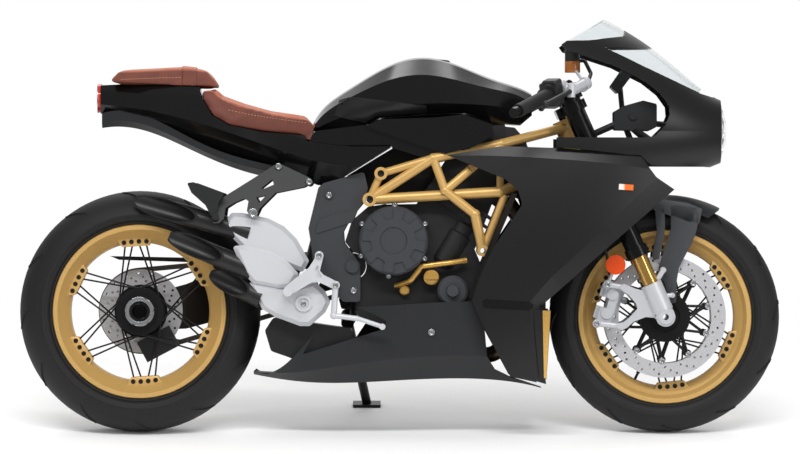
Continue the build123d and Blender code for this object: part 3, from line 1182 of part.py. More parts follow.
# ---------------------------------------------------------------- assembly
def build():
    """Every node's solids, upright in the bike frame."""
    shell, case, frame = nose_shell(), engine(), trellis_frame()
    pipes, silencer = exhaust()
    plates = frame_plates()
    panel, tank, cowl, bars = side_fairing(), fuel_tank(), tail_cowl(plates), handlebars()
    tray = tail_undertray() - cowl
    pegs = [biggest(piece.cut(cowl, tray)) for piece in pillion_footrests()]
    lamp, dials, arm = headlamp(shell), instrument_panel(), swingarm()
    clamps, calipers = triple_clamps(), front_calipers()
    pumps = hand_pumps(bars)
    controls = hand_controls(bars, pumps)
    nodes = {
        "trellis_frame": frame, "frame_plates": plates, "engine": case - plates,
        "engine_covers": engine_covers(case, plates, frame), "engine_fittings": engine_fittings(case),
        "radiator": radiator(frame), "exhaust_headers": pipes - case,
        "silencer": silencer, "silencer_shield": silencer_shield(pegs, plates),
        "exhaust_tips": exhaust_tips(),
        "fuel_tank": tank, "fuel_cap": fuel_cap() - tank,
        "tank_side_covers": tank_side_covers(tank, frame, case, cowl),
        "rider_seat": seat() - tank - cowl, "pillion_pad": pillion_pad() - cowl, "tail_cowl": cowl,
        "tail_undertray": tray, "tail_lamp": rod((-112, 0, LAMP_SEAT_Z), (-100, 0, LAMP_SEAT_Z), TAIL_LAMP_R),
        "nose_cowl": nose_cowl(shell), "windscreen": windscreen(shell), "headlamp": lamp,
        "headlamp_lens": headlamp_lens(),
        "instrument_panel": dials,
        "cowl_bracket": cowl_bracket(nose_cowl(shell), lamp, dials, [panel, mirrored(panel)]),
        "side_fairing_left": panel,
        "side_fairing_right": mirrored(panel), "belly_pan": belly_pan(), "fairing_trim": fairing_trim(panel),
        "indicators": indicators(), "swingarm": arm, "rear_shock": rear_shock(),
        "rear_caliper": rear_caliper(), "chain": chain(), "chain_guard": chain_guard(arm),
        "rider_footrests": rider_footrests(), "pillion_footrests": pegs,
        "fork_tubes": fork_tubes(), "fork_stanchions": stanchions(), "fork_bottoms": fork_bottoms(),
        "triple_clamps": clamps, "brake_hoses": brake_hoses(clamps, calipers, controls, pumps),
        "handlebars": bars, "grips": grips(),
        "hand_controls": controls, "hand_pumps": pumps, "front_mudguard": front_mudguard(),
        "front_calipers": calipers, "fork_reflectors": reflectors(), "side_stand": side_stand()}
    nodes.update(front_wheel())
    nodes.update(rear_wheel())
    return nodes


def main():
    os.makedirs("parts", exist_ok=True)
    for name, shape in build().items():
        solids = shape if isinstance(shape, list) else [shape]
        whole = Compound(children=[TO_ROW * s for piece in solids for s in piece.solids()])
        export_step(whole, f"parts/{name}.step")


if __name__ == "__main__":
    main()
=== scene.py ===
"""Sport motorcycle with a trellis frame, on its side stand: finishes, soft goods and small fittings."""

from math import asin, atan2, cos, pi, radians, sin, sqrt

import bpy
from mathutils import Matrix, Vector


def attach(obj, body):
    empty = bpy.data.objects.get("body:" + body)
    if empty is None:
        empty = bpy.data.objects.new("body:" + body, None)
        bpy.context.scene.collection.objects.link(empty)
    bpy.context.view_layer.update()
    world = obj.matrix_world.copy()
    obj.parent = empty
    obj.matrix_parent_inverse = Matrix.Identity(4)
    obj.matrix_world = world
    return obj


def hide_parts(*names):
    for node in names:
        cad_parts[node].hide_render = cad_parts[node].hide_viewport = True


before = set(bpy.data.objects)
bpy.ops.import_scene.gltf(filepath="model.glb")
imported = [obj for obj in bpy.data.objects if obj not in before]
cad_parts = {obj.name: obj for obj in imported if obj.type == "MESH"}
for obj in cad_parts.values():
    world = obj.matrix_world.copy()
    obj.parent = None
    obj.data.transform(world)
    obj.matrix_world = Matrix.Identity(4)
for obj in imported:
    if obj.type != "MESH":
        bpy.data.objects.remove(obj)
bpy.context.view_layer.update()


# ------------------------------------------------------------------ camera
# The machine leans ten degrees on to its side stand. The camera stands square to the right side of the leaned
# machine, far off with a long lens, so the side is seen almost without perspective.
LEAN = radians(10)
REAR_CROWN = 0.095
LEAN_DROP = REAR_CROWN * (1 - cos(LEAN))
ROW_ORIGIN = Vector((0.683, 0.145923, -LEAN_DROP))
# from the upright machine, which the sizes below are given on, to the parked one
PARKED = Matrix.Translation(-ROW_ORIGIN) @ Matrix.Rotation(-LEAN, 4, "X")

camera_data = bpy.data.cameras.new("side_camera")
camera_data.lens, camera_data.sensor_width, camera_data.clip_end = 341.5, 36, 100
camera = bpy.data.objects.new("side_camera", camera_data)
camera.matrix_world = PARKED @ Matrix.Translation((0.684, -20, 0.539)) @ Matrix.Rotation(radians(90), 4, "X")
bpy.context.scene.collection.objects.link(camera)
bpy.context.scene.camera = camera
bpy.context.scene.view_settings.view_transform = "Standard"


# ------------------------------------------------------------------ trellis frame
# Steel tubes of 20 to 27 mm welded to turned bosses, sprayed and baked in a metallic gold enamel. It carries
# the engine, which is bolted through the bosses with black cap screws.
def srgb(code):
    """A colour written as six sRGB hex digits, as the linear RGBA that the shader takes."""
    channels = [int(code[i:i + 2], 16) / 255 for i in (0, 2, 4)]
    return [c / 12.92 if c <= 0.04045 else ((c + 0.055) / 1.055) ** 2.4 for c in channels] + [1.0]


def add(tree, kind, settings=None, **links):
    """Adds one node: settings by attribute or socket name, links as socket=(node, output)."""
    made = tree.nodes.new(kind)
    for key, value in (settings or {}).items():
        if hasattr(made, key):
            setattr(made, key, value)
        else:
            made.inputs[key].default_value = value
    for socket, (source, output) in links.items():
        tree.links.new(source.outputs[output], made.inputs[socket.replace("_", " ")])
    return made


def finish(name, base, roughness, **sockets):
    """A named finish with its shader set; returns the material, its tree and the shader."""
    material = bpy.data.materials.new(name)
    material.use_nodes = True
    tree = material.node_tree
    shader = tree.nodes["Principled BSDF"]
    shader.inputs["Base Color"].default_value = srgb(base)
    shader.inputs["Roughness"].default_value = roughness
    for socket, value in sockets.items():
        shader.inputs[socket.replace("_", " ")].default_value = value
    material.diffuse_color = srgb(base)
    return material, tree, shader


def grain(tree, shader, size_mm, depth_mm, strength=0.5, rough=None, tint=None):
    """Cast or sprayed texture of a real size: bump and, if given, a spread of roughness or of colour."""
    place = add(tree, "ShaderNodeTexCoord")
    noise = add(tree, "ShaderNodeTexNoise", {"Scale": 1000 / size_mm, "Detail": 3.0},
                Vector=(place, "Object"))
    if depth_mm:
        bump = add(tree, "ShaderNodeBump", {"Strength": strength, "Distance": depth_mm / 1000},
                   Height=(noise, 0))
        tree.links.new(bump.outputs["Normal"], shader.inputs["Normal"])
    if rough:
        spread = add(tree, "ShaderNodeMapRange", {"To Min": rough[0], "To Max": rough[1]}, Value=(noise, 0))
        tree.links.new(spread.outputs["Result"], shader.inputs["Roughness"])
    if tint:
        ramp = add(tree, "ShaderNodeValToRGB", Fac=(noise, 0))
        for element, place_on, code in zip(ramp.color_ramp.elements, (0.35, 0.65), tint):
            element.position, element.color = place_on, srgb(code)
        tree.links.new(ramp.outputs["Color"], shader.inputs["Base Color"])


def paint(material, *names):
    """Gives CAD nodes their finish."""
    for name in names:
        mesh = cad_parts[name].data
        mesh.materials.clear()
        mesh.materials.append(material)


def choose(*pieces):
    """Selects these objects and nothing else."""
    bpy.ops.object.select_all(action="DESELECT")
    for piece in pieces:
        piece.select_set(True)
    bpy.context.view_layer.objects.active = pieces[0]


def smooth(angle, *pieces):
    """Shades across edges below the angle, as moulded and turned surfaces look."""
    choose(*[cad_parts[piece] if isinstance(piece, str) else piece for piece in pieces])
    bpy.ops.object.shade_smooth_by_angle(angle=radians(angle))


def pick(piece, test):
    """Opens the piece's mesh with only the faces whose centre and normal pass the test selected."""
    choose(piece)
    for part in (*piece.data.vertices, *piece.data.edges):
        part.select = False
    for face in piece.data.polygons:
        face.select = bool(test(face.center, face.normal))
    bpy.context.tool_settings.mesh_select_mode = (False, False, True)
    bpy.ops.object.mode_set(mode="EDIT")


def close(piece):
    """Back to the object with its mesh merged and its place put into the mesh."""
    if bpy.context.mode != "OBJECT":
        bpy.ops.object.mode_set(mode="OBJECT")
    choose(piece)
    bpy.ops.object.transform_apply(location=True, rotation=True, scale=True)


def chamfer(piece, width):
    """Breaks the edges that turn by more than 40 degrees."""
    close(piece)
    bevel = piece.modifiers.new("edge", "BEVEL")
    bevel.width, bevel.segments = width, 2
    bevel.limit_method, bevel.angle_limit = "ANGLE", radians(40)
    bpy.ops.object.modifier_apply(modifier=bevel.name)


def cap_screw(radius, head):
    """The head of a cap screw with its socket, standing along Z on the face that it is driven into."""
    bpy.ops.object.select_all(action="DESELECT")
    bpy.ops.mesh.primitive_cylinder_add(vertices=24, radius=radius, depth=head, location=(0, 0, head / 2))
    screw = bpy.context.object
    close(screw)
    pick(screw, lambda centre, normal: normal.z > 0.9)
    bpy.ops.mesh.inset(thickness=radius * 0.42)
    bpy.ops.mesh.extrude_region_move(TRANSFORM_OT_translate={"value": (0, 0, -head * 0.55)})
    chamfer(screw, radius * 0.12)
    return screw


def square_face(node, x, z, side=-1, sunk=0.0, beside=0.0):
    """A place on a CAD node at x, z of the upright machine in mm, with Z out of the machine's side.

    A ray from the side feels how far out the face is, and the place is sunk into it. Beside a hole, the ray
    is sent that far above it."""
    out_of = PARKED.to_3x3() @ Vector((0, side, 0))
    start = PARKED @ Vector((x / 1000, side * 1.0, (z + beside) / 1000))
    hit, point, normal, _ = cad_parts[node].ray_cast(start, -out_of)
    if not hit:
        raise ValueError("nothing of %s at %g, %g" % (node, x, z))
    depth = (PARKED.inverted() @ (point - normal * sunk / 1000)).y
    return Matrix.Translation((x / 1000, depth, z / 1000)) @ Matrix.Rotation(radians(-90 * side), 4, "X")


def set_copies(model, name, places):
    """A copy of the model at each place, each with its own mesh, then joined; the model itself goes."""
    made = []
    for place in places:
        twin = model.copy()
        twin.data = model.data.copy()
        twin.data.transform(place)
        bpy.context.scene.collection.objects.link(twin)
        made.append(twin)
    bpy.data.objects.remove(model)
    choose(*made)
    if len(made) > 1:
        bpy.ops.object.join()
    made[0].name = name
    return made[0]


def hold(piece, body, material, angle=40):
    """Leans a finished piece with the machine, finishes it and fixes it to the body that carries it."""
    close(piece)
    piece.data.transform(PARKED)
    piece.data.materials.clear()
    piece.data.materials.append(material)
    smooth(angle, piece)
    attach(piece, body)


# metallic enamel: fine flakes give a satin sheen with soft highlights, a little darker in the grain
gold_enamel, tree, shader = finish("gold_metallic_enamel", "c7a05e", 0.4, Metallic=0.35)
grain(tree, shader, 0.9, 0.02, 0.25, tint=("bd9554", "d0aa69"))
paint(gold_enamel, "trellis_frame")
smooth(35, "trellis_frame")

# blackened steel: oiled black oxide, dull with a soft shine on its edges
black_oxide, tree, shader = finish("black_oxide_steel", "232324", 0.42, Metallic=0.7)
grain(tree, shader, 1.5, 0.03, 0.3)
frame_screws = set_copies(cap_screw(0.0095, 0.005), "frame_screws",
                          [square_face("trellis_frame", x, z, side, sunk=8, beside=13)
                           for x, z in ((634.4, 679), (605.8, 611)) for side in (-1, 1)])
hold(frame_screws, "chassis", black_oxide)


# ------------------------------------------------------------------ pivot plates
# Two plates of gravity-cast aluminium that clamp the swingarm pivot, powder-coated dark grey. Each is drilled
# and held by cap screws with bright heads.
# powder coat on a sand-cast skin: fine orange peel, satin
grey_powder, tree, shader = finish("dark_grey_powder_coat", "343538", 0.5, Specular_IOR_Level=0.35)
grain(tree, shader, 1.6, 0.12, 0.35, rough=(0.44, 0.56))
paint(grey_powder, "frame_plates")
smooth(30, "frame_plates")

# bright zinc plate: pale, slightly blue-white, clean reflections
bright_zinc, tree, shader = finish("bright_zinc_plate", "b9babc", 0.26, Metallic=1.0)
grain(tree, shader, 2.0, 0.0, rough=(0.2, 0.34))
plate_screws = set_copies(cap_screw(0.0078, 0.004), "plate_screws",
                          [square_face("frame_plates", x, z) for x, z in ((498, 622), (562, 372))]
                          + [square_face("frame_plates", 498, 622, 1)])
hold(plate_screws, "chassis", bright_zinc)


# ------------------------------------------------------------------ engine
# A three-cylinder engine of die-cast aluminium, painted black, its covers in dark grey. The clutch cover is
# fixed with bright cap screws round its edge. Filler cap, level plug and hose on its side are gold.
# sand-blasted casting under heat-proof paint: pebbled, dull
black_casting, tree, shader = finish("black_painted_casting", "161617", 0.55, Specular_IOR_Level=0.35)
grain(tree, shader, 2.2, 0.2, 0.5)
# the covers: paler and smoother than the block, so their rims and pockets stand out
grey_casting, tree, shader = finish("dark_grey_painted_casting", "38393d", 0.45, Specular_IOR_Level=0.4,
                                    Metallic=0.15)
grain(tree, shader, 1.8, 0.1, 0.35, rough=(0.4, 0.5))
# gold anodising: coloured clear film on turned aluminium, sharp highlights
gold_anodised, tree, shader = finish("gold_anodised_aluminium", "cfa355", 0.32, Metallic=0.6)
grain(tree, shader, 1.2, 0.0, rough=(0.22, 0.34))
paint(black_casting, "engine")
paint(grey_casting, "engine_covers")
paint(gold_anodised, "engine_fittings")
smooth(30, "engine", "engine_covers", "engine_fittings")

CLUTCH = (667.0, 503.0)
SCREW_CIRCLE = 93.5
cover_places = [square_face("engine_covers", CLUTCH[0] + SCREW_CIRCLE * cos(radians(a)),
                            CLUTCH[1] + SCREW_CIRCLE * sin(radians(a)))
                for a in (28, 88, 152, 205, 262, 330)]
cover_screws = set_copies(cap_screw(0.0055, 0.005), "cover_screws", cover_places)
hold(cover_screws, "chassis", bright_zinc)


# ------------------------------------------------------------------ airbox
# A moulded black plastic box between the tubes of the frame, under the tank. It feeds the intakes, and its
# cheeks close the view through the frame.
def cut_out(name, outline, y0, y1):
    """A plate across the upright machine: the outline in x, z, pushed from y0 to y1, all in mm."""
    bpy.ops.object.select_all(action="DESELECT")
    bpy.ops.mesh.primitive_circle_add(vertices=len(outline), radius=0.1, fill_type="NGON")
    piece = bpy.context.object
    piece.name = name
    for vertex, (x, z) in zip(piece.data.vertices, outline):
        vertex.co = (x / 1000, y0 / 1000, z / 1000)
    bpy.ops.object.mode_set(mode="EDIT")
    bpy.ops.mesh.select_all(action="SELECT")
    if y1 != y0:
        bpy.ops.mesh.extrude_region_move(TRANSFORM_OT_translate={"value": (0, (y1 - y0) / 1000, 0)})
        bpy.ops.mesh.select_all(action="SELECT")
        bpy.ops.mesh.normals_make_consistent(inside=False)
    bpy.ops.object.mode_set(mode="OBJECT")
    return piece


def underside(node, x, gap):
    """The height in mm of a node's underside over the middle of the machine, less a gap."""
    up = PARKED.to_3x3() @ Vector((0, 0, 1))
    below = 0.64
    _, point, _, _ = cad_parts[node].ray_cast(PARKED @ Vector((x / 1000, 0, below)), up)
    return (PARKED.inverted() @ point).z * 1000 - gap


# polypropylene: dull black, faint mould grain
polypropylene, tree, shader = finish("black_polypropylene", "0c0c0d", 0.6, Specular_IOR_Level=0.3)
grain(tree, shader, 1.2, 0.03, 0.3)

tank_line = [(x, underside("fuel_tank", x, 1)) for x in range(600, 961, 20)]
AIRBOX_HALF, CHEEK_IN = 86, 70
airbox = cut_out("airbox", [(606, 600), (590, 640), (545, 662), (545, 673), (620, 719), (672, 750),
                            (674, 788), (600, 790)] + tank_line
                 + [(960, 626), (912, 640), (908, 708), (786, 716), (782, 640), (706, 606)],
                 -AIRBOX_HALF, AIRBOX_HALF)
CHEEK = [(955, 803), (985, 800), (1012, 770), (1036, 700), (1000, 612), (955, 628)]
cheeks = [cut_out("airbox_cheek", CHEEK, *y)
          for y in ((-AIRBOX_HALF, -CHEEK_IN), (CHEEK_IN, AIRBOX_HALF))]
choose(airbox, *cheeks)
bpy.ops.object.join()
chamfer(airbox, 0.002)
hold(airbox, "chassis", polypropylene)


# ------------------------------------------------------------------ radiator
# Brazed aluminium core painted black, its fins 2 mm apart between flat tubes, with an oil cooler below it. It
# hangs in front of the cylinders.
# folded fins: fine level lines that swallow the light; drawn 4 mm apart so that they show
fin_black, tree, shader = finish("black_painted_fins", "101011", 0.6)
place = add(tree, "ShaderNodeTexCoord")
FIN_PITCH = 0.004
fins = add(tree, "ShaderNodeTexWave", {"bands_direction": "Z", "Scale": 1 / (FIN_PITCH * pi)},
           Vector=(place, "Object"))
bump = add(tree, "ShaderNodeBump", {"Strength": 0.8, "Distance": 0.001}, Height=(fins, "Fac"))
tree.links.new(bump.outputs["Normal"], shader.inputs["Normal"])
paint(fin_black, "radiator")


# ------------------------------------------------------------------ exhaust
# Stainless headers run under the engine into a flat box, and three slanted outlets leave it one above the
# other. A shield in satin silver hides the box.
# stainless tube after heat: straw and brown tints along the pipe
header_steel, tree, shader = finish("heat_tinted_stainless", "4a4038", 0.34, Metallic=0.9)
grain(tree, shader, 60, 0.0, tint=("3a332e", "5d5044"))
paint(header_steel, "exhaust_headers")
# black ceramic coat: dense and dull, a soft shine where it curves
black_ceramic, tree, shader = finish("black_ceramic_coat", "1a1a1b", 0.4, Specular_IOR_Level=0.4)
grain(tree, shader, 1.2, 0.03, 0.3)
paint(black_ceramic, "silencer", "exhaust_tips")
# pearl-blasted aluminium under clear lacquer: pale, even, no sharp reflection
blasted_silver, tree, shader = finish("bead_blasted_aluminium", "c3c4c8", 0.5, Metallic=0.3)
grain(tree, shader, 1.1, 0.05, 0.3, rough=(0.42, 0.52))
paint(blasted_silver, "silencer_shield", "rider_footrests")
smooth(32, "exhaust_headers", "silencer", "exhaust_tips", "silencer_shield", "rider_footrests")
hanger_screws = set_copies(cap_screw(0.0075, 0.004), "hanger_screws",
                           [square_face("rider_footrests", x, z) for x, z in ((473, 465), (516, 387))])
hold(hanger_screws, "chassis", bright_zinc)
shield_screw = set_copies(cap_screw(0.007, 0.004), "shield_screw", [square_face("silencer_shield", 432, 339)])
hold(shield_screw, "chassis", bright_zinc)


# ------------------------------------------------------------------ pillion brackets
# Forked brackets cast in aluminium and painted dark grey. They bolt to the tail with bright screws, and the
# right one also carries the exhaust on a large bright bolt.
# painted casting, darker than the pivot plates
bracket_grey, tree, shader = finish("grey_painted_casting", "1c1d1e", 0.5, Specular_IOR_Level=0.35)
grain(tree, shader, 1.6, 0.08, 0.35)
paint(bracket_grey, "pillion_footrests")
smooth(30, "pillion_footrests")
bracket_screws = set_copies(cap_screw(0.0085, 0.004), "bracket_screws",
                            [square_face("pillion_footrests", x, z, side)
                             for x, z in ((366, 697), (446, 657)) for side in (-1, 1)])
hold(bracket_screws, "chassis", bright_zinc)
hanger_bolt = set_copies(cap_screw(0.0125, 0.005), "hanger_bolt",
                         [square_face("pillion_footrests", 300, 575)])
hold(hanger_bolt, "chassis", bright_zinc)


# ------------------------------------------------------------------ tank, tail and bodywork
# The tank is pressed steel, the tail and side covers are injection-moulded ABS, all sprayed deep black under
# a clear lacquer and polished. The fairing and cowl are satin, the undertray is bare plastic.
# lacquered black: mirror-like, its own colour almost nothing
black_lacquer, tree, shader = finish("black_lacquer", "0a0a0b", 0.15, Specular_IOR_Level=0.4)
grain(tree, shader, 70, 0.0, rough=(0.12, 0.19))
paint(black_lacquer, "fuel_tank", "tail_cowl", "tank_side_covers")
# satin black lacquer with a very fine grain: soft wide highlights
satin_lacquer, tree, shader = finish("satin_black_lacquer", "0f0f10", 0.38, Specular_IOR_Level=0.4)
grain(tree, shader, 0.9, 0.015, 0.2)
paint(satin_lacquer, "side_fairing_left", "side_fairing_right", "nose_cowl")
# bare moulded ABS, dark grey: fine leather-like grain from the mould
moulded_abs, tree, shader = finish("moulded_grey_abs", "1b1c1e", 0.5, Specular_IOR_Level=0.35)
grain(tree, shader, 0.8, 0.04, 0.4)
paint(moulded_abs, "tail_undertray", "front_mudguard", "chain_guard", "cowl_bracket", "instrument_panel")
# the belly pan's own ABS, a shade paler and smoother than the rest
belly_grey, tree, shader = finish("moulded_dark_abs", "1f2022", 0.46, Specular_IOR_Level=0.35)
grain(tree, shader, 0.8, 0.04, 0.4)
paint(belly_grey, "belly_pan")
paint(black_oxide, "fuel_cap")
smooth(26, "tail_cowl", "tank_side_covers", "side_fairing_left", "side_fairing_right", "nose_cowl",
       "tail_undertray", "front_mudguard", "chain_guard", "belly_pan", "fuel_cap", "cowl_bracket",
       "instrument_panel")

CLEAR, MISSED = 350, 0.345      # mm out where a skin starts, and m out beyond which it met nothing


def draped(name, outline, node, side, lift, thick, step=14):
    """A skin of the outline laid on a CAD node from the side: cut into a fine net, then shrunk on to it."""
    skin = cut_out(name, outline, side * CLEAR, side * CLEAR)
    bpy.ops.object.mode_set(mode="EDIT")
    for axis, across in ((0, (1, 0, 0)), (1, (0, 0, 1))):
        low, high = min(p[axis] for p in outline), max(p[axis] for p in outline)
        for n in range(1, int((high - low) / step) + 1):
            bpy.ops.mesh.select_all(action="SELECT")
            at = (low + n * step) / 1000
            bpy.ops.mesh.bisect(plane_co=(at * across[0], 0, at * across[2]), plane_no=across)
    bpy.ops.object.mode_set(mode="OBJECT")
    skin.matrix_world = PARKED
    wrap = skin.modifiers.new("lay", "SHRINKWRAP")
    wrap.target, wrap.wrap_method, wrap.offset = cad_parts[node], "PROJECT", lift / 1000
    wrap.use_project_y, wrap.use_negative_direction, wrap.use_positive_direction = True, True, True
    choose(skin)
    bpy.ops.object.modifier_apply(modifier=wrap.name)
    # what met nothing stays out where the skin started, and is cut away
    pick(skin, lambda centre, normal: False)
    bpy.ops.object.mode_set(mode="OBJECT")
    for vertex in skin.data.vertices:
        vertex.select = abs(vertex.co.y) > MISSED
    bpy.context.tool_settings.mesh_select_mode = (True, False, False)
    bpy.ops.object.mode_set(mode="EDIT")
    bpy.ops.mesh.delete(type="VERT")
    bpy.ops.object.mode_set(mode="OBJECT")
    shell = skin.modifiers.new("shell", "SOLIDIFY")
    shell.thickness, shell.offset = thick / 1000, 0
    bpy.ops.object.modifier_apply(modifier=shell.name)
    skin.matrix_world = Matrix.Identity(4)
    return skin


# knee panels: thin satin skins that follow the tank, their edges catching the light
KNEE = [(526, 872), (560, 880), (752, 856), (756, 838), (622, 830), (592, 812), (512, 830)]
for side, name in ((-1, "knee_panel_right"), (1, "knee_panel_left")):
    panel = draped(name, KNEE, "fuel_tank", side, 1.5, 3)
    hold(panel, "chassis", satin_lacquer)
# the gold bar of the fairing is anodised aluminium; the upright fins are black, with a gold strip in front
FIN_FRONT = 1.0275
paint(gold_anodised, "fairing_trim")
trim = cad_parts["fairing_trim"].data
trim.materials.append(satin_lacquer)
for face in trim.polygons:
    face.material_index = int((PARKED.inverted() @ face.center).x > FIN_FRONT)
smooth(30, "fairing_trim")
FIN_STRIP = [(1056, 321), (1076.5, 321), (1066.3, 144), (1060, 144)]
BAR_FACE = [(913, 343), (1019, 336.6), (1024, 331), (1019, 327.5), (913, 334.5), (908, 338.5)]
BAR_WELL = [(899, 345), (905, 351), (1024, 344), (1031, 336), (1030, 327), (1022, 321), (905, 328),
            (899, 333)]
strips = []
for side, name in ((-1, "right"), (1, "left")):
    strips.append(draped("fin_strip", FIN_STRIP, "fairing_trim", side, 1.6, 3, 24))
    strips.append(draped("bar_face", BAR_FACE, "side_fairing_" + name, side, 1.9, 1.5, 30))
choose(*strips)
bpy.ops.object.join()
strips[0].name = "fairing_gold_strips"
hold(strips[0], "chassis", gold_anodised)
for side, name in ((-1, "right"), (1, "left")):
    well = draped("bar_surround_" + name, BAR_WELL, "side_fairing_" + name, side, 0.5, 1, 30)
    hold(well, "chassis", black_lacquer)
belly_screws = set_copies(cap_screw(0.009, 0.004), "belly_screws", [square_face("belly_pan", 766, 264)])
hold(belly_screws, "chassis", bright_zinc)


# ------------------------------------------------------------------ seats
# Foam pads on a plastic base, covered in brown leather. The cover is pulled tight over the foam, so the pad
# swells between its edges, and a seam of pale thread runs along each side.
# full-grain leather: pores and creases, satin, with a painted highlight that makes the faces turned up
# lighter; the pores are drawn 2.4 mm apart so that they show
leather, tree, shader = finish("brown_leather", "8e4a36", 0.5, Specular_IOR_Level=0.4)
place = add(tree, "ShaderNodeTexCoord")
pores = add(tree, "ShaderNodeTexVoronoi", {"Scale": 1000 / 2.4}, Vector=(place, "Object"))
cloud = add(tree, "ShaderNodeTexNoise", {"Scale": 1000 / 28, "Detail": 4}, Vector=(place, "Object"))
# painted highlight: this attribute lightens the leather on the faces that turn up
painted_top_light = add(tree, "ShaderNodeAttribute", {"attribute_name": "painted_top_light"})
blend = add(tree, "ShaderNodeMath", {"operation": "MULTIPLY_ADD"})
tree.links.new(cloud.outputs[0], blend.inputs[0])
blend.inputs[1].default_value = 0.3
tree.links.new(painted_top_light.outputs["Fac"], blend.inputs[2])
ramp = add(tree, "ShaderNodeValToRGB", Fac=(blend, 0))
for element, place_on, code in zip(ramp.color_ramp.elements, (0.1, 1.0), ("64352a", "a85a3b")):
    element.position, element.color = place_on, srgb(code)
tree.links.new(ramp.outputs["Color"], shader.inputs["Base Color"])
bump = add(tree, "ShaderNodeBump", {"Strength": 0.45, "Distance": 0.0006}, Height=(pores, "Distance"))
tree.links.new(bump.outputs["Normal"], shader.inputs["Normal"])


def stuffed(node, name, cap, shrink):
    """The pad of a CAD solid: remeshed, pulled in a little, then blown up by at most the cap."""
    voxel, pressure, stiffness, frames = 0.006, 4.0, 15, 20
    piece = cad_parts[node].copy()
    piece.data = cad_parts[node].data.copy()
    piece.name = name
    bpy.context.scene.collection.objects.link(piece)
    choose(piece)
    piece.parent = None
    piece.data.remesh_voxel_size = voxel
    bpy.ops.object.voxel_remesh()
    rest = [v.co.copy() for v in piece.data.vertices]
    for v, normal in zip(piece.data.vertices, [Vector(n.vector) for n in piece.data.vertex_normals]):
        v.co -= normal * shrink
    cloth = piece.modifiers.new("cover", "CLOTH")
    cloth.settings.use_pressure = True
    cloth.settings.uniform_pressure_force = pressure
    cloth.settings.effector_weights.gravity = 0
    cloth.settings.tension_stiffness = cloth.settings.compression_stiffness = stiffness
    for step in range(1, frames + 1):
        bpy.context.scene.frame_set(step)
    choose(piece)
    bpy.ops.object.modifier_apply(modifier=cloth.name)
    bpy.context.scene.frame_set(1)
    for v, home in zip(piece.data.vertices, rest):
        move = v.co - home
        if move.length > cap:
            v.co = home + move.normalized() * cap
    relax = piece.modifiers.new("relax", "SMOOTH")
    relax.factor, relax.iterations = 0.5, 4
    bpy.ops.object.modifier_apply(modifier=relax.name)
    piece.data.materials.clear()
    piece.data.materials.append(leather)
    bpy.ops.object.shade_smooth()
    finer = piece.modifiers.new("finer", "SUBSURF")
    finer.levels = finer.render_levels = 1
    bpy.ops.object.modifier_apply(modifier=finer.name)
    # painted highlight on the pad's top: 0 on the sides, 0.8 on top, so the faces turned up come out lighter
    tone = piece.data.attributes.new("painted_top_light", "FLOAT", "POINT")
    upward = PARKED.to_3x3() @ Vector((0, 0, 1))
    for entry, normal in zip(tone.data, piece.data.vertex_normals):
        entry.value = min(max((Vector(normal.vector).dot(upward) - 0.1) / 0.5, 0), 1) * 0.8
    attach(piece, "chassis")
    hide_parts(node)
    return piece


rider_pad = stuffed("rider_seat", "rider_seat_pad", 0.006, 0.004)
pillion = stuffed("pillion_pad", "pillion_seat_pad", 0.003, 0.006)

# a sewn strap of the same leather over the pillion pad, cut from the pad's own skin and thickened
strap = pillion.copy()
strap.data = pillion.data.copy()
strap.name = "pillion_strap"
bpy.context.scene.collection.objects.link(strap)
choose(strap)
bpy.ops.object.mode_set(mode="EDIT")
STRAP_BACK, STRAP_FRONT = 0.113, 0.149
for x, keep_front in ((STRAP_BACK, True), (STRAP_FRONT, False)):
    bpy.ops.mesh.select_all(action="SELECT")
    bpy.ops.mesh.bisect(plane_co=(x - ROW_ORIGIN.x, 0, 0), plane_no=(1, 0, 0), clear_inner=keep_front,
                        clear_outer=not keep_front)
bpy.ops.object.mode_set(mode="OBJECT")
down = PARKED.to_3x3() @ Vector((0, 0, -1))
pick(strap, lambda centre, normal: Vector(normal).dot(down) > 0.6)
bpy.ops.mesh.delete(type="FACE")
bpy.ops.object.mode_set(mode="OBJECT")
thick = strap.modifiers.new("thick", "SOLIDIFY")
thick.thickness, thick.offset = 0.0022, 1
bpy.ops.object.modifier_apply(modifier=thick.name)
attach(strap, "chassis")


def side_point(piece, x, z, side):
    """The pad's surface at x, z of the upright machine, met from the side, a little outside it."""
    out = 0.0002
    outward = PARKED.to_3x3() @ Vector((0, side, 0))
    hit, point, normal, _ = piece.ray_cast(PARKED @ Vector((x / 1000, side * 1.0, z / 1000)), -outward)
    return (PARKED.inverted() @ (point + normal * out), PARKED.inverted().to_3x3() @ normal) if hit else None


# thread: waxed polyester, stitches drawn 6 mm long so that they show
thread, tree, shader = finish("waxed_polyester_thread", "b98a6c", 0.6)
bpy.context.view_layer.update()
STITCH_PITCH = 8
stitches = []
for pad, line in ((rider_pad, [(232, 846), (300, 832), (380, 820), (440, 812)]),
                  (pillion, [(-50, 926), (40, 930), (110, 932)])):
    for (x0, z0), (x1, z1) in zip(line, line[1:]):
        count = int(sqrt((x1 - x0) ** 2 + (z1 - z0) ** 2) / STITCH_PITCH)
        for n in range(count):
            t = (n + 0.5) / count
            for side in (-1, 1):
                found = side_point(pad, x0 + (x1 - x0) * t, z0 + (z1 - z0) * t, side)
                if found:
                    along = Vector((x1 - x0, 0, z1 - z0)).normalized()
                    across = found[1].cross(along).normalized()
                    turn = Matrix((along, across, found[1])).transposed().to_4x4()
                    stitches.append(Matrix.Translation(found[0]) @ turn)
bpy.ops.object.select_all(action="DESELECT")
bpy.ops.mesh.primitive_uv_sphere_add(segments=8, ring_count=4, radius=0.001, scale=(2.8, 0.75, 0.6))
stitch = bpy.context.object
close(stitch)
seam = set_copies(stitch, "seat_stitches", stitches)
hold(seam, "chassis", thread)


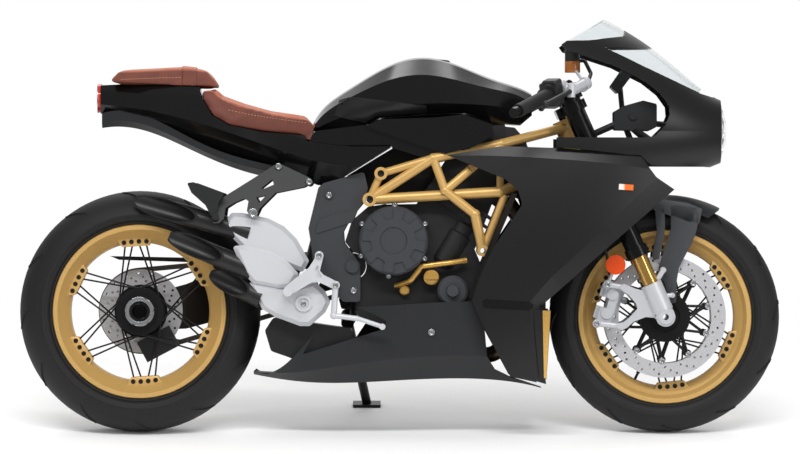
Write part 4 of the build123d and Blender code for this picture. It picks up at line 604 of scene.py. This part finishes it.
# ------------------------------------------------------------------ tail lamp
# A round red lamp at the end of the tail, its lens moulded in red plastic and held by a bright turned ring.
# red polycarbonate: clear colour with a glossy skin
red_lens, tree, shader = finish("red_polycarbonate", "c02a17", 0.12)
paint(red_lens, "tail_lamp")
# a moulded plate across the inside of the tail closes the view through it
TAIL_HALF = 58
inner_panel = cut_out("tail_inner_panel", [(185, 764), (362, 716), (362, 692), (300, 708), (185, 742)],
                      -TAIL_HALF, TAIL_HALF)
chamfer(inner_panel, 0.002)
hold(inner_panel, "chassis", polypropylene)
bpy.ops.object.select_all(action="DESELECT")
bpy.ops.mesh.primitive_torus_add(major_segments=64, minor_segments=10, major_radius=0.0375,
                                 minor_radius=0.0018, location=(-0.1115, 0, 0.878),
                                 rotation=(0, radians(90), 0))
lamp_ring = bpy.context.object
lamp_ring.name = "tail_lamp_ring"
hold(lamp_ring, "chassis", bright_zinc)


# ------------------------------------------------------------------ swingarm, chain and rear brake
# The single-sided arm is a hollow casting with a black coat, as is the rear caliper. The chain is oiled steel
# and runs on the left.
# cast aluminium under a black coat: slightly pebbled, dull
coated_casting, tree, shader = finish("black_coated_casting", "1d1d1f", 0.42, Metallic=0.2)
grain(tree, shader, 1.8, 0.12, 0.35)
paint(coated_casting, "swingarm", "rear_caliper")
# oiled steel: brownish, with broken soft highlights
chain_steel, tree, shader = finish("oiled_chain_steel", "5b5650", 0.35, Metallic=0.8)
grain(tree, shader, 2.0, 0.0, rough=(0.28, 0.42))
paint(chain_steel, "chain")
# ground sprocket and discs: grinding marks, drawn as a fine spread of roughness
ground_steel, tree, shader = finish("ground_stainless_steel", "c6c6c9", 0.36, Metallic=0.55)
grain(tree, shader, 1.6, 0.01, 0.3, rough=(0.3, 0.46))
paint(ground_steel, "rear_sprocket", "rear_brake_disc", "front_brake_rings")
paint(black_oxide, "rear_shock", "side_stand")
smooth(32, "swingarm", "rear_caliper", "chain", "rear_sprocket", "rear_brake_disc", "front_brake_rings",
       "rear_shock", "side_stand")


# ------------------------------------------------------------------ fork
# Upside-down fork: black anodised outer tubes in black clamps, gold coated inner tubes, and silver cast feet
# that carry the axle, the calipers and the mudguard.
# black anodising: deep, with long sharp highlights down the tube
black_anodised, tree, shader = finish("black_anodised_aluminium", "131314", 0.24, Metallic=0.6)
paint(black_anodised, "fork_tubes", "triple_clamps", "handlebars")
# titanium nitride on the inner tubes: polished gold
nitride_gold, tree, shader = finish("titanium_nitride_coat", "c89d58", 0.2, Metallic=0.9)
paint(nitride_gold, "fork_stanchions")
# silver paint on a casting: pale and even, slightly pebbled
silver_casting, tree, shader = finish("silver_painted_casting", "bfc0c4", 0.42, Metallic=0.4)
grain(tree, shader, 1.6, 0.08, 0.35)
paint(silver_casting, "fork_bottoms", "front_calipers", "hand_pumps")
# rubber hose in a smooth sleeve: black, softly shining
hose_rubber, tree, shader = finish("black_hose_rubber", "121213", 0.5)
paint(hose_rubber, "brake_hoses")
# reflex reflector: orange prisms under a flat face
reflector, tree, shader = finish("orange_reflex_plastic", "d4470f", 0.14)
paint(reflector, "fork_reflectors")
smooth(32, "fork_tubes", "triple_clamps", "handlebars", "fork_stanchions", "fork_bottoms", "front_calipers",
       "hand_pumps", "brake_hoses", "fork_reflectors")
# bare ABS of the mudguard's blades: a mid grey that stands out from the hoop
blade_grey, tree, shader = finish("moulded_mid_grey_abs", "38393c", 0.5, Specular_IOR_Level=0.35)
grain(tree, shader, 0.8, 0.04, 0.4)
# the right-hand blades of the mudguard, like those on the left: moulded plates that run down to the fork foot
BLADE_OUT, BLADE_IN = -77.7, -74
blades = [cut_out("mudguard_blade", outline, BLADE_OUT, BLADE_IN) for outline in (
    [(1346, 606), (1372, 612), (1440, 602), (1478, 586), (1470, 548), (1440, 552), (1350, 584)],
    [(1394, 600), (1464, 590), (1469, 562), (1461, 523), (1448, 492), (1417, 434), (1411, 400), (1409, 342),
     (1400, 338), (1392, 342), (1378, 392), (1363, 408), (1363, 434), (1382, 496), (1395, 535)],
    [(1352, 600), (1378, 600), (1380, 540), (1376, 505), (1364, 455), (1352, 452), (1345, 462), (1358, 527)])]
choose(*blades)
bpy.ops.object.join()
mudguard_blades = blades[0]
mudguard_blades.name = "mudguard_blades_right"
chamfer(mudguard_blades, 0.0012)
hold(mudguard_blades, "steering", blade_grey)
caliper_screws = set_copies(cap_screw(0.0075, 0.005), "caliper_screws",
                            [square_face("fork_bottoms", x, z, side)
                             for x, z in ((1228, 388), (1200, 286)) for side in (-1, 1)])
hold(caliper_screws, "steering", bright_zinc)


# ------------------------------------------------------------------ handlebars
# Clip-on bars clamped round the fork tubes, with moulded rubber grips pushed over their ends. Switch pods and
# levers are black, and the right bar carries the front brake's fluid pot.
# grip rubber: small dimples 4 mm apart, dull
grip_rubber, tree, shader = finish("ribbed_grip_rubber", "151516", 0.65)
place = add(tree, "ShaderNodeTexCoord")
knurl = add(tree, "ShaderNodeTexVoronoi", {"Scale": 1000 / 4}, Vector=(place, "Object"))
bump = add(tree, "ShaderNodeBump", {"Strength": 0.7, "Distance": 0.001}, Height=(knurl, "Distance"))
tree.links.new(bump.outputs["Normal"], shader.inputs["Normal"])
paint(grip_rubber, "grips")
# moulded switch pods, and the levers: black, finely grained
pod_plastic, tree, shader = finish("switch_pod_plastic", "19191a", 0.45)
grain(tree, shader, 0.8, 0.03, 0.4)
paint(pod_plastic, "hand_controls")
smooth(32, "grips", "hand_controls")
# the front brake's fluid pot: a translucent sleeve, amber with fluid
amber_pot, tree, shader = finish("amber_fluid_pot", "9a5a24", 0.25)
bpy.ops.object.select_all(action="DESELECT")
bpy.ops.mesh.primitive_cylinder_add(vertices=48, radius=0.0204, depth=0.03, location=(1.136, -0.105, 0.9585))
pot = bpy.context.object
pot.name = "fluid_pot_sleeve"
close(pot)
pick(pot, lambda centre, normal: abs(normal.z) > 0.9)
bpy.ops.mesh.inset(thickness=0.0015)
bpy.ops.object.mode_set(mode="OBJECT")
chamfer(pot, 0.0008)
hold(pot, "steering", amber_pot)


# ------------------------------------------------------------------ wheels
# Aluminium rims in gold enamel with six lugs, each drilled across for the heads of four straight spokes of
# black steel. The front discs float on black carriers, held by ten bright buttons a side.
paint(gold_enamel, "front_rim", "rear_rim")
# black coat on spokes, hubs and disc carriers: dark, with a thin highlight along each spoke
black_spoke, tree, shader = finish("black_coated_spokes", "161617", 0.35, Metallic=0.5)
paint(black_spoke, "front_hub_spokes", "rear_hub_spokes", "front_disc_carriers")
smooth(32, "front_rim", "rear_rim", "front_hub_spokes", "rear_hub_spokes", "front_disc_carriers")

FRONT_AXLE, REAR_AXLE = (1380.0, 303.0), (0.0, 317.0)       # x, z in mm
LUGS, LUG_PITCH, LUG_HEADS = 6, 19.7, 4
HEADS_R, HEADS_FALL = 184.5, 0.06       # radius of the heads, and how it falls off along the lug


def lug_faces(name, node, body, x, z, first, face_y, root_y):
    """The thick gold faces of the six lugs on both sides of a rim, with the dark heads of their spokes."""
    block = cut_out("lug_face", [(-51, 196), (51, 196), (35, 171.5), (-35, 171.5)], -face_y, -root_y)
    chamfer(block, 0.0018)
    head = cap_screw(0.0062, 0.0012)
    lugs, heads = [], []
    for k in range(LUGS):
        turn = Matrix.Rotation(radians(90 - first - 360 / LUGS * k), 4, "Y")
        for side in (0, 180):
            lug = Matrix.Translation((x / 1000, 0, z / 1000)) @ turn @ Matrix.Rotation(radians(side), 4, "Z")
            lugs.append(lug)
            for i in range(LUG_HEADS):
                along = (i - (LUG_HEADS - 1) / 2) * LUG_PITCH
                up = HEADS_R - abs(along) * HEADS_FALL
                heads.append(lug @ Matrix.Translation((along / 1000, -face_y / 1000, up / 1000))
                             @ Matrix.Rotation(radians(90), 4, "X"))
    hold(set_copies(block, name + "_lug_faces", lugs), body, gold_enamel)
    hold(set_copies(head, name + "_spoke_heads", heads), body, black_oxide)


lug_faces("front", "front_rim", "front_wheel", *FRONT_AXLE, first=35.5, face_y=30, root_y=12)
lug_faces("rear", "rear_rim", "rear_wheel", *REAR_AXLE, first=33.8, face_y=48, root_y=14)

# a valve stem with its cap stands inside the front rim, pointing at the axle
VALVE_TURN = 90 + 115
bpy.ops.object.select_all(action="DESELECT")
bpy.ops.mesh.primitive_cylinder_add(vertices=16, radius=0.0035, depth=0.026, location=(0, 0, 0.178))
stem = bpy.context.object
close(stem)
pick(stem, lambda centre, normal: normal.z < -0.9)
bpy.ops.mesh.extrude_region_shrink_fatten(TRANSFORM_OT_shrink_fatten={"value": 0.001})
bpy.ops.transform.resize(value=(1.35, 1.35, 1))
bpy.ops.mesh.extrude_region_move(TRANSFORM_OT_translate={"value": (0, 0, -0.009)})
chamfer(stem, 0.0006)
front_centre = Matrix.Translation((FRONT_AXLE[0] / 1000, 0, FRONT_AXLE[1] / 1000))
valve_stem = set_copies(stem, "valve_stem", [front_centre @ Matrix.Rotation(radians(VALVE_TURN), 4, "Y")])
hold(valve_stem, "front_wheel", black_oxide)

BUTTONS, BUTTON_CIRCLE, BUTTON_Y, BUTTON_FIRST = 10, 116, 0.0668, 14
buttons = []
for side in (-1, 1):
    for k in range(BUTTONS):
        a = radians(BUTTON_FIRST + k * 360 / BUTTONS)
        x, z = FRONT_AXLE[0] + BUTTON_CIRCLE * cos(a), FRONT_AXLE[1] + BUTTON_CIRCLE * sin(a)
        buttons.append(Matrix.Translation((x / 1000, side * BUTTON_Y, z / 1000))
                       @ Matrix.Rotation(radians(-90 * side), 4, "X"))
disc_buttons = set_copies(cap_screw(0.0082, 0.003), "disc_buttons", buttons)
hold(disc_buttons, "front_wheel", bright_zinc)


def tread_tyre(name, node, body, x, z, r, width, crown, bead):
    """A radial tyre as a spun section, its tread cut with slanting grooves on each side."""
    flange, seat, wall = 229.5, 216.3, 10.0
    edge_y = width / 2 - 3
    edge_r = r - crown + sqrt(crown ** 2 - edge_y ** 2)
    waist = (edge_r + flange) / 2 + 4
    reach = asin(edge_y / crown)
    tread = [(crown * sin(reach * t / 8), r - crown + crown * cos(reach * t / 8)) for t in range(8, -9, -1)]
    flank = [(bead + 3, flange), (bead + 6, flange + 3), (bead + 6.4, flange + 6), (bead + 5.2, flange + 7)]
    # the side wall bulges from the bead to the tread's edge, with one moulded line half way up
    rise = [((bead + 3) * (1 - t) ** 2 + 2 * t * (1 - t) * (width / 2 + 4) + edge_y * t ** 2,
             flange * (1 - t) ** 2 + 2 * t * (1 - t) * waist + edge_r * t ** 2)
            for t in (0.3, 0.42, 0.54, 0.56, 0.68, 0.8, 0.9)]
    rise[3] = (rise[3][0] - 0.9, rise[3][1])
    half = flank + [(min(y, width / 2), q) for y, q in rise]
    inside = [(-edge_y + wall, edge_r - 2), (-edge_y * 0.5, r - wall - 3), (0, r - wall),
              (edge_y * 0.5, r - wall - 3), (edge_y - wall, edge_r - 2)]
    section = ([(bead - 14, seat), (bead - 0.5, seat), (bead - 0.5, flange)] + half + tread
               + [(-y, q) for y, q in reversed(half)]
               + [(0.5 - bead, flange), (0.5 - bead, seat), (14 - bead, seat)] + inside)
    bpy.ops.object.select_all(action="DESELECT")
    bpy.ops.mesh.primitive_circle_add(vertices=len(section), radius=r / 1000)
    piece = bpy.context.object
    piece.name = name
    for vertex, (y, q) in zip(piece.data.vertices, section):
        vertex.co = (0, y / 1000, q / 1000)
    bpy.ops.object.mode_set(mode="EDIT")
    bpy.ops.mesh.select_all(action="SELECT")
    steps = 96
    bpy.ops.mesh.spin(steps=steps, angle=2 * pi, center=(0, 0, 0), axis=(0, 1, 0))
    bpy.ops.mesh.select_all(action="SELECT")
    bpy.ops.mesh.remove_doubles(threshold=0.00002)
    bpy.ops.mesh.normals_make_consistent(inside=False)
    bpy.ops.object.mode_set(mode="OBJECT")
    slant = 0.34                        # radians round the wheel from the crown to the shoulder
    cut_from, cut_to = 0.14, 0.86       # how far a groove runs, as a share of that way
    every = 8                           # columns of the net from one groove to the next
    for vertex in piece.data.vertices:
        q = sqrt(vertex.co.x ** 2 + vertex.co.z ** 2)
        if q > edge_r / 1000 - 0.0005 and abs(vertex.co.y) > 0.0001:
            share = abs(vertex.co.y) * 1000 / edge_y
            vertex.co = Matrix.Rotation(slant * share, 4, "Y") @ vertex.co
    step = 2 * pi / steps

    def groove(centre, normal):
        """One column of the tread in eight; those of the other side lie half way between."""
        q = sqrt(centre.x ** 2 + centre.z ** 2) * 1000
        share = abs(centre.y) * 1000 / edge_y
        if q < edge_r - 3 or not cut_from < share < cut_to or centre.x * normal.x + centre.z * normal.z < 0:
            return False
        turn = atan2(centre.x, centre.z) - slant * share
        column = int(round(turn / step - 0.5)) % steps
        return column % every == (0 if centre.y > 0 else every // 2)

    pick(piece, groove)
    bpy.ops.mesh.inset(thickness=0.0075, use_even_offset=True)
    bpy.ops.mesh.inset(thickness=0.0006, depth=-0.0032, use_even_offset=True)
    bpy.ops.object.mode_set(mode="OBJECT")
    piece.location = (x / 1000, 0, z / 1000)
    hold(piece, body, tyre_rubber, 34)
    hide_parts(node)


# tyre rubber: carbon black, dull, with a faint bloom in patches of a few millimetres
tyre_rubber, tree, shader = finish("tyre_rubber", "161617", 0.62, Specular_IOR_Level=0.35)
grain(tree, shader, 5, 0.05, 0.3, rough=(0.56, 0.72))
tread_tyre("front_tyre_tread", "front_tyre", "front_wheel", *FRONT_AXLE, r=303.0, width=120.0, crown=62.0,
           bead=45.0)
tread_tyre("rear_tyre_tread", "rear_tyre", "rear_wheel", *REAR_AXLE, r=317.0, width=180.0, crown=95.0,
           bead=70.0)

# a large castellated nut holds the rear wheel on its axle: plated bright, six slots in its rim
FACETS, SLOT_PITCH = 72, 12     # facets round the nut, and from one slot to the next; a slot takes two
bpy.ops.object.select_all(action="DESELECT")
bpy.ops.mesh.primitive_cylinder_add(vertices=FACETS, radius=0.0385, depth=0.006, location=(0, 0, 0.003))
nut = bpy.context.object
close(nut)
pick(nut, lambda centre, normal: abs(normal.z) > 0.9)
bpy.ops.mesh.inset(thickness=0.011, use_individual=True)
bpy.ops.mesh.bridge_edge_loops()
bpy.ops.object.mode_set(mode="OBJECT")
pick(nut, lambda centre, normal: abs(normal.z) < 0.3 and centre.length > 0.034
     and int(atan2(centre.y, centre.x) / (2 * pi) * FACETS + FACETS) % SLOT_PITCH in (0, 1))
bpy.ops.mesh.extrude_region_shrink_fatten(TRANSFORM_OT_shrink_fatten={"value": -0.003})
chamfer(nut, 0.0005)
wheel_nut = set_copies(nut, "rear_wheel_nut",
                       [Matrix.Translation((0, -0.068, 0.317)) @ Matrix.Rotation(radians(90), 4, "X")])
hold(wheel_nut, "rear_wheel", bright_zinc)

# a dished black cap stops the hollow axle 38 mm in from the right
bpy.ops.object.select_all(action="DESELECT")
bpy.ops.mesh.primitive_cylinder_add(vertices=48, radius=0.0196, depth=0.03, location=(0, -0.015, 0.317),
                                    rotation=(radians(90), 0, 0))
plug = bpy.context.object
plug.name = "axle_bore_cap"
close(plug)
pick(plug, lambda centre, normal: normal.y < -0.9)
bpy.ops.mesh.inset(thickness=0.003)
bpy.ops.mesh.extrude_region_move(TRANSFORM_OT_translate={"value": (0, 0.012, 0)})
chamfer(plug, 0.0006)
hold(plug, "rear_wheel", black_oxide)


# ------------------------------------------------------------------ screen, headlamp and indicators
# The screen is clear acrylic 4 mm thick. The lamp has a clear polycarbonate lens over a bright bowl, and the
# indicators are amber strips let into the fairing.
# clear acrylic: colourless, sharp reflections, slightly grey in its thickness
acrylic, tree, shader = finish("clear_acrylic", "f2f5f6", 0.02, Transmission_Weight=1.0, IOR=1.2)
paint(acrylic, "windscreen")
# clear polycarbonate: as the screen, with stronger edges
polycarbonate, tree, shader = finish("clear_polycarbonate", "f4f6f7", 0.03, Transmission_Weight=1.0, IOR=1.45)
paint(polycarbonate, "headlamp_lens")
# vapour-coated bowl: a near mirror
bright_bowl, tree, shader = finish("vacuum_metallised_bowl", "c9cacc", 0.14, Metallic=1.0)
paint(bright_bowl, "headlamp")
# indicator strip: clear behind, amber in front, glossy
amber, tree, shader = finish("clear_and_amber_polycarbonate", "d8672a", 0.15)
place = add(tree, "ShaderNodeTexCoord")
split = add(tree, "ShaderNodeSeparateXYZ", Vector=(place, "Object"))
CLEAR_END, AMBER_START = 0.583, 0.589
half = add(tree, "ShaderNodeMapRange", {"From Min": CLEAR_END, "From Max": AMBER_START}, Value=(split, "X"))
two_tone = add(tree, "ShaderNodeMix", {"data_type": "RGBA"})
tree.links.new(half.outputs["Result"], two_tone.inputs[0])
two_tone.inputs[6].default_value, two_tone.inputs[7].default_value = srgb("d9d2c8"), srgb("d8672a")
tree.links.new(two_tone.outputs[2], shader.inputs["Base Color"])
paint(amber, "indicators")
smooth(30, "windscreen", "headlamp_lens", "headlamp")


# ------------------------------------------------------------------ floor, backdrop and lamps
# A wide pale floor under a white sky. The sky shows white to the camera, lights the machine at a plain level
# and is mirrored darker from the camera's side, so that black paint stays black. Three large soft lamps add
# shape.
bpy.ops.object.select_all(action="DESELECT")
bpy.ops.mesh.primitive_plane_add(size=40, location=(0, 0, 0))
floor = bpy.context.object
floor.name = "floor"
# matt paper that fades into the white sky: gone 3.3 m along, 2.1 m towards the camera and 1.2 m behind
floor_paint, tree, shader = finish("pale_floor", "f4f4f4", 0.9)
place = add(tree, "ShaderNodeTexCoord")
near = add(tree, "ShaderNodeVectorMath", {"operation": "MULTIPLY_ADD"})
tree.links.new(place.outputs["Object"], near.inputs[0])
near.inputs[1].default_value, near.inputs[2].default_value = (0.3, 0.6, 0), (0, 0.25, 0)
away = add(tree, "ShaderNodeVectorMath", {"operation": "LENGTH"})
tree.links.new(near.outputs["Vector"], away.inputs[0])
fade = add(tree, "ShaderNodeMapRange", {"interpolation_type": "SMOOTHSTEP", "From Min": 0.3, "From Max": 1.0})
tree.links.new(away.outputs["Value"], fade.inputs["Value"])
clear = add(tree, "ShaderNodeBsdfTransparent")
mixed = add(tree, "ShaderNodeMixShader", Fac=(fade, "Result"))
tree.links.new(shader.outputs["BSDF"], mixed.inputs[1])
tree.links.new(clear.outputs["BSDF"], mixed.inputs[2])
tree.links.new(mixed.outputs["Shader"], tree.nodes["Material Output"].inputs["Surface"])
floor.data.materials.append(floor_paint)

world = bpy.data.worlds.new("studio")
bpy.context.scene.world = world
world.use_nodes = True
tree = world.node_tree
rays = add(tree, "ShaderNodeLightPath")
sky = add(tree, "ShaderNodeTexCoord")
side = add(tree, "ShaderNodeSeparateXYZ", Vector=(sky, "Generated"))
# from dark behind the camera to white behind the machine
PLAIN_LEVEL, DARK_LEVEL = 0.8, 0.32
depth = add(tree, "ShaderNodeMapRange",
            {"From Min": 0.5, "From Max": 1.0, "To Min": DARK_LEVEL, "To Max": 1.0}, Value=(side, "Y"))
mirror = add(tree, "ShaderNodeMix", {"data_type": "FLOAT"})
tree.links.new(rays.outputs["Is Glossy Ray"], mirror.inputs[0])
mirror.inputs[2].default_value = PLAIN_LEVEL
tree.links.new(depth.outputs["Result"], mirror.inputs[3])
seen = add(tree, "ShaderNodeMath", {"operation": "MAXIMUM"})
tree.links.new(rays.outputs["Is Camera Ray"], seen.inputs[0])
tree.links.new(rays.outputs["Is Transmission Ray"], seen.inputs[1])
level = add(tree, "ShaderNodeMix", {"data_type": "FLOAT"})
tree.links.new(seen.outputs[0], level.inputs[0])
tree.links.new(mirror.outputs[0], level.inputs[2])
level.inputs[3].default_value = 1.0
background = tree.nodes["Background"]
background.inputs["Color"].default_value = (1, 1, 1, 1)
tree.links.new(level.outputs[0], background.inputs["Strength"])

for name, place, aim, length, width, power in (("key", (-0.5, -4.0, 5.5), (0, 0, 0.5), 6.0, 0.7, 300),
                                               ("side", (5.0, -4.5, 2.2), (0.3, 0, 0.6), 0.8, 2.5, 80),
                                               ("back", (0.0, 6.0, 6.0), (0, 0, 0.5), 5.0, 3.0, 160)):
    lamp_data = bpy.data.lights.new(name, "AREA")
    lamp_data.specular_factor = 0.5
    lamp_data.shape, lamp_data.size, lamp_data.size_y, lamp_data.energy = "RECTANGLE", length, width, power
    lamp = bpy.data.objects.new(name, lamp_data)
    lamp.location = place
    lamp.rotation_euler = (Vector(aim) - Vector(place)).to_track_quat("-Z", "Y").to_euler()
    bpy.context.scene.collection.objects.link(lamp)
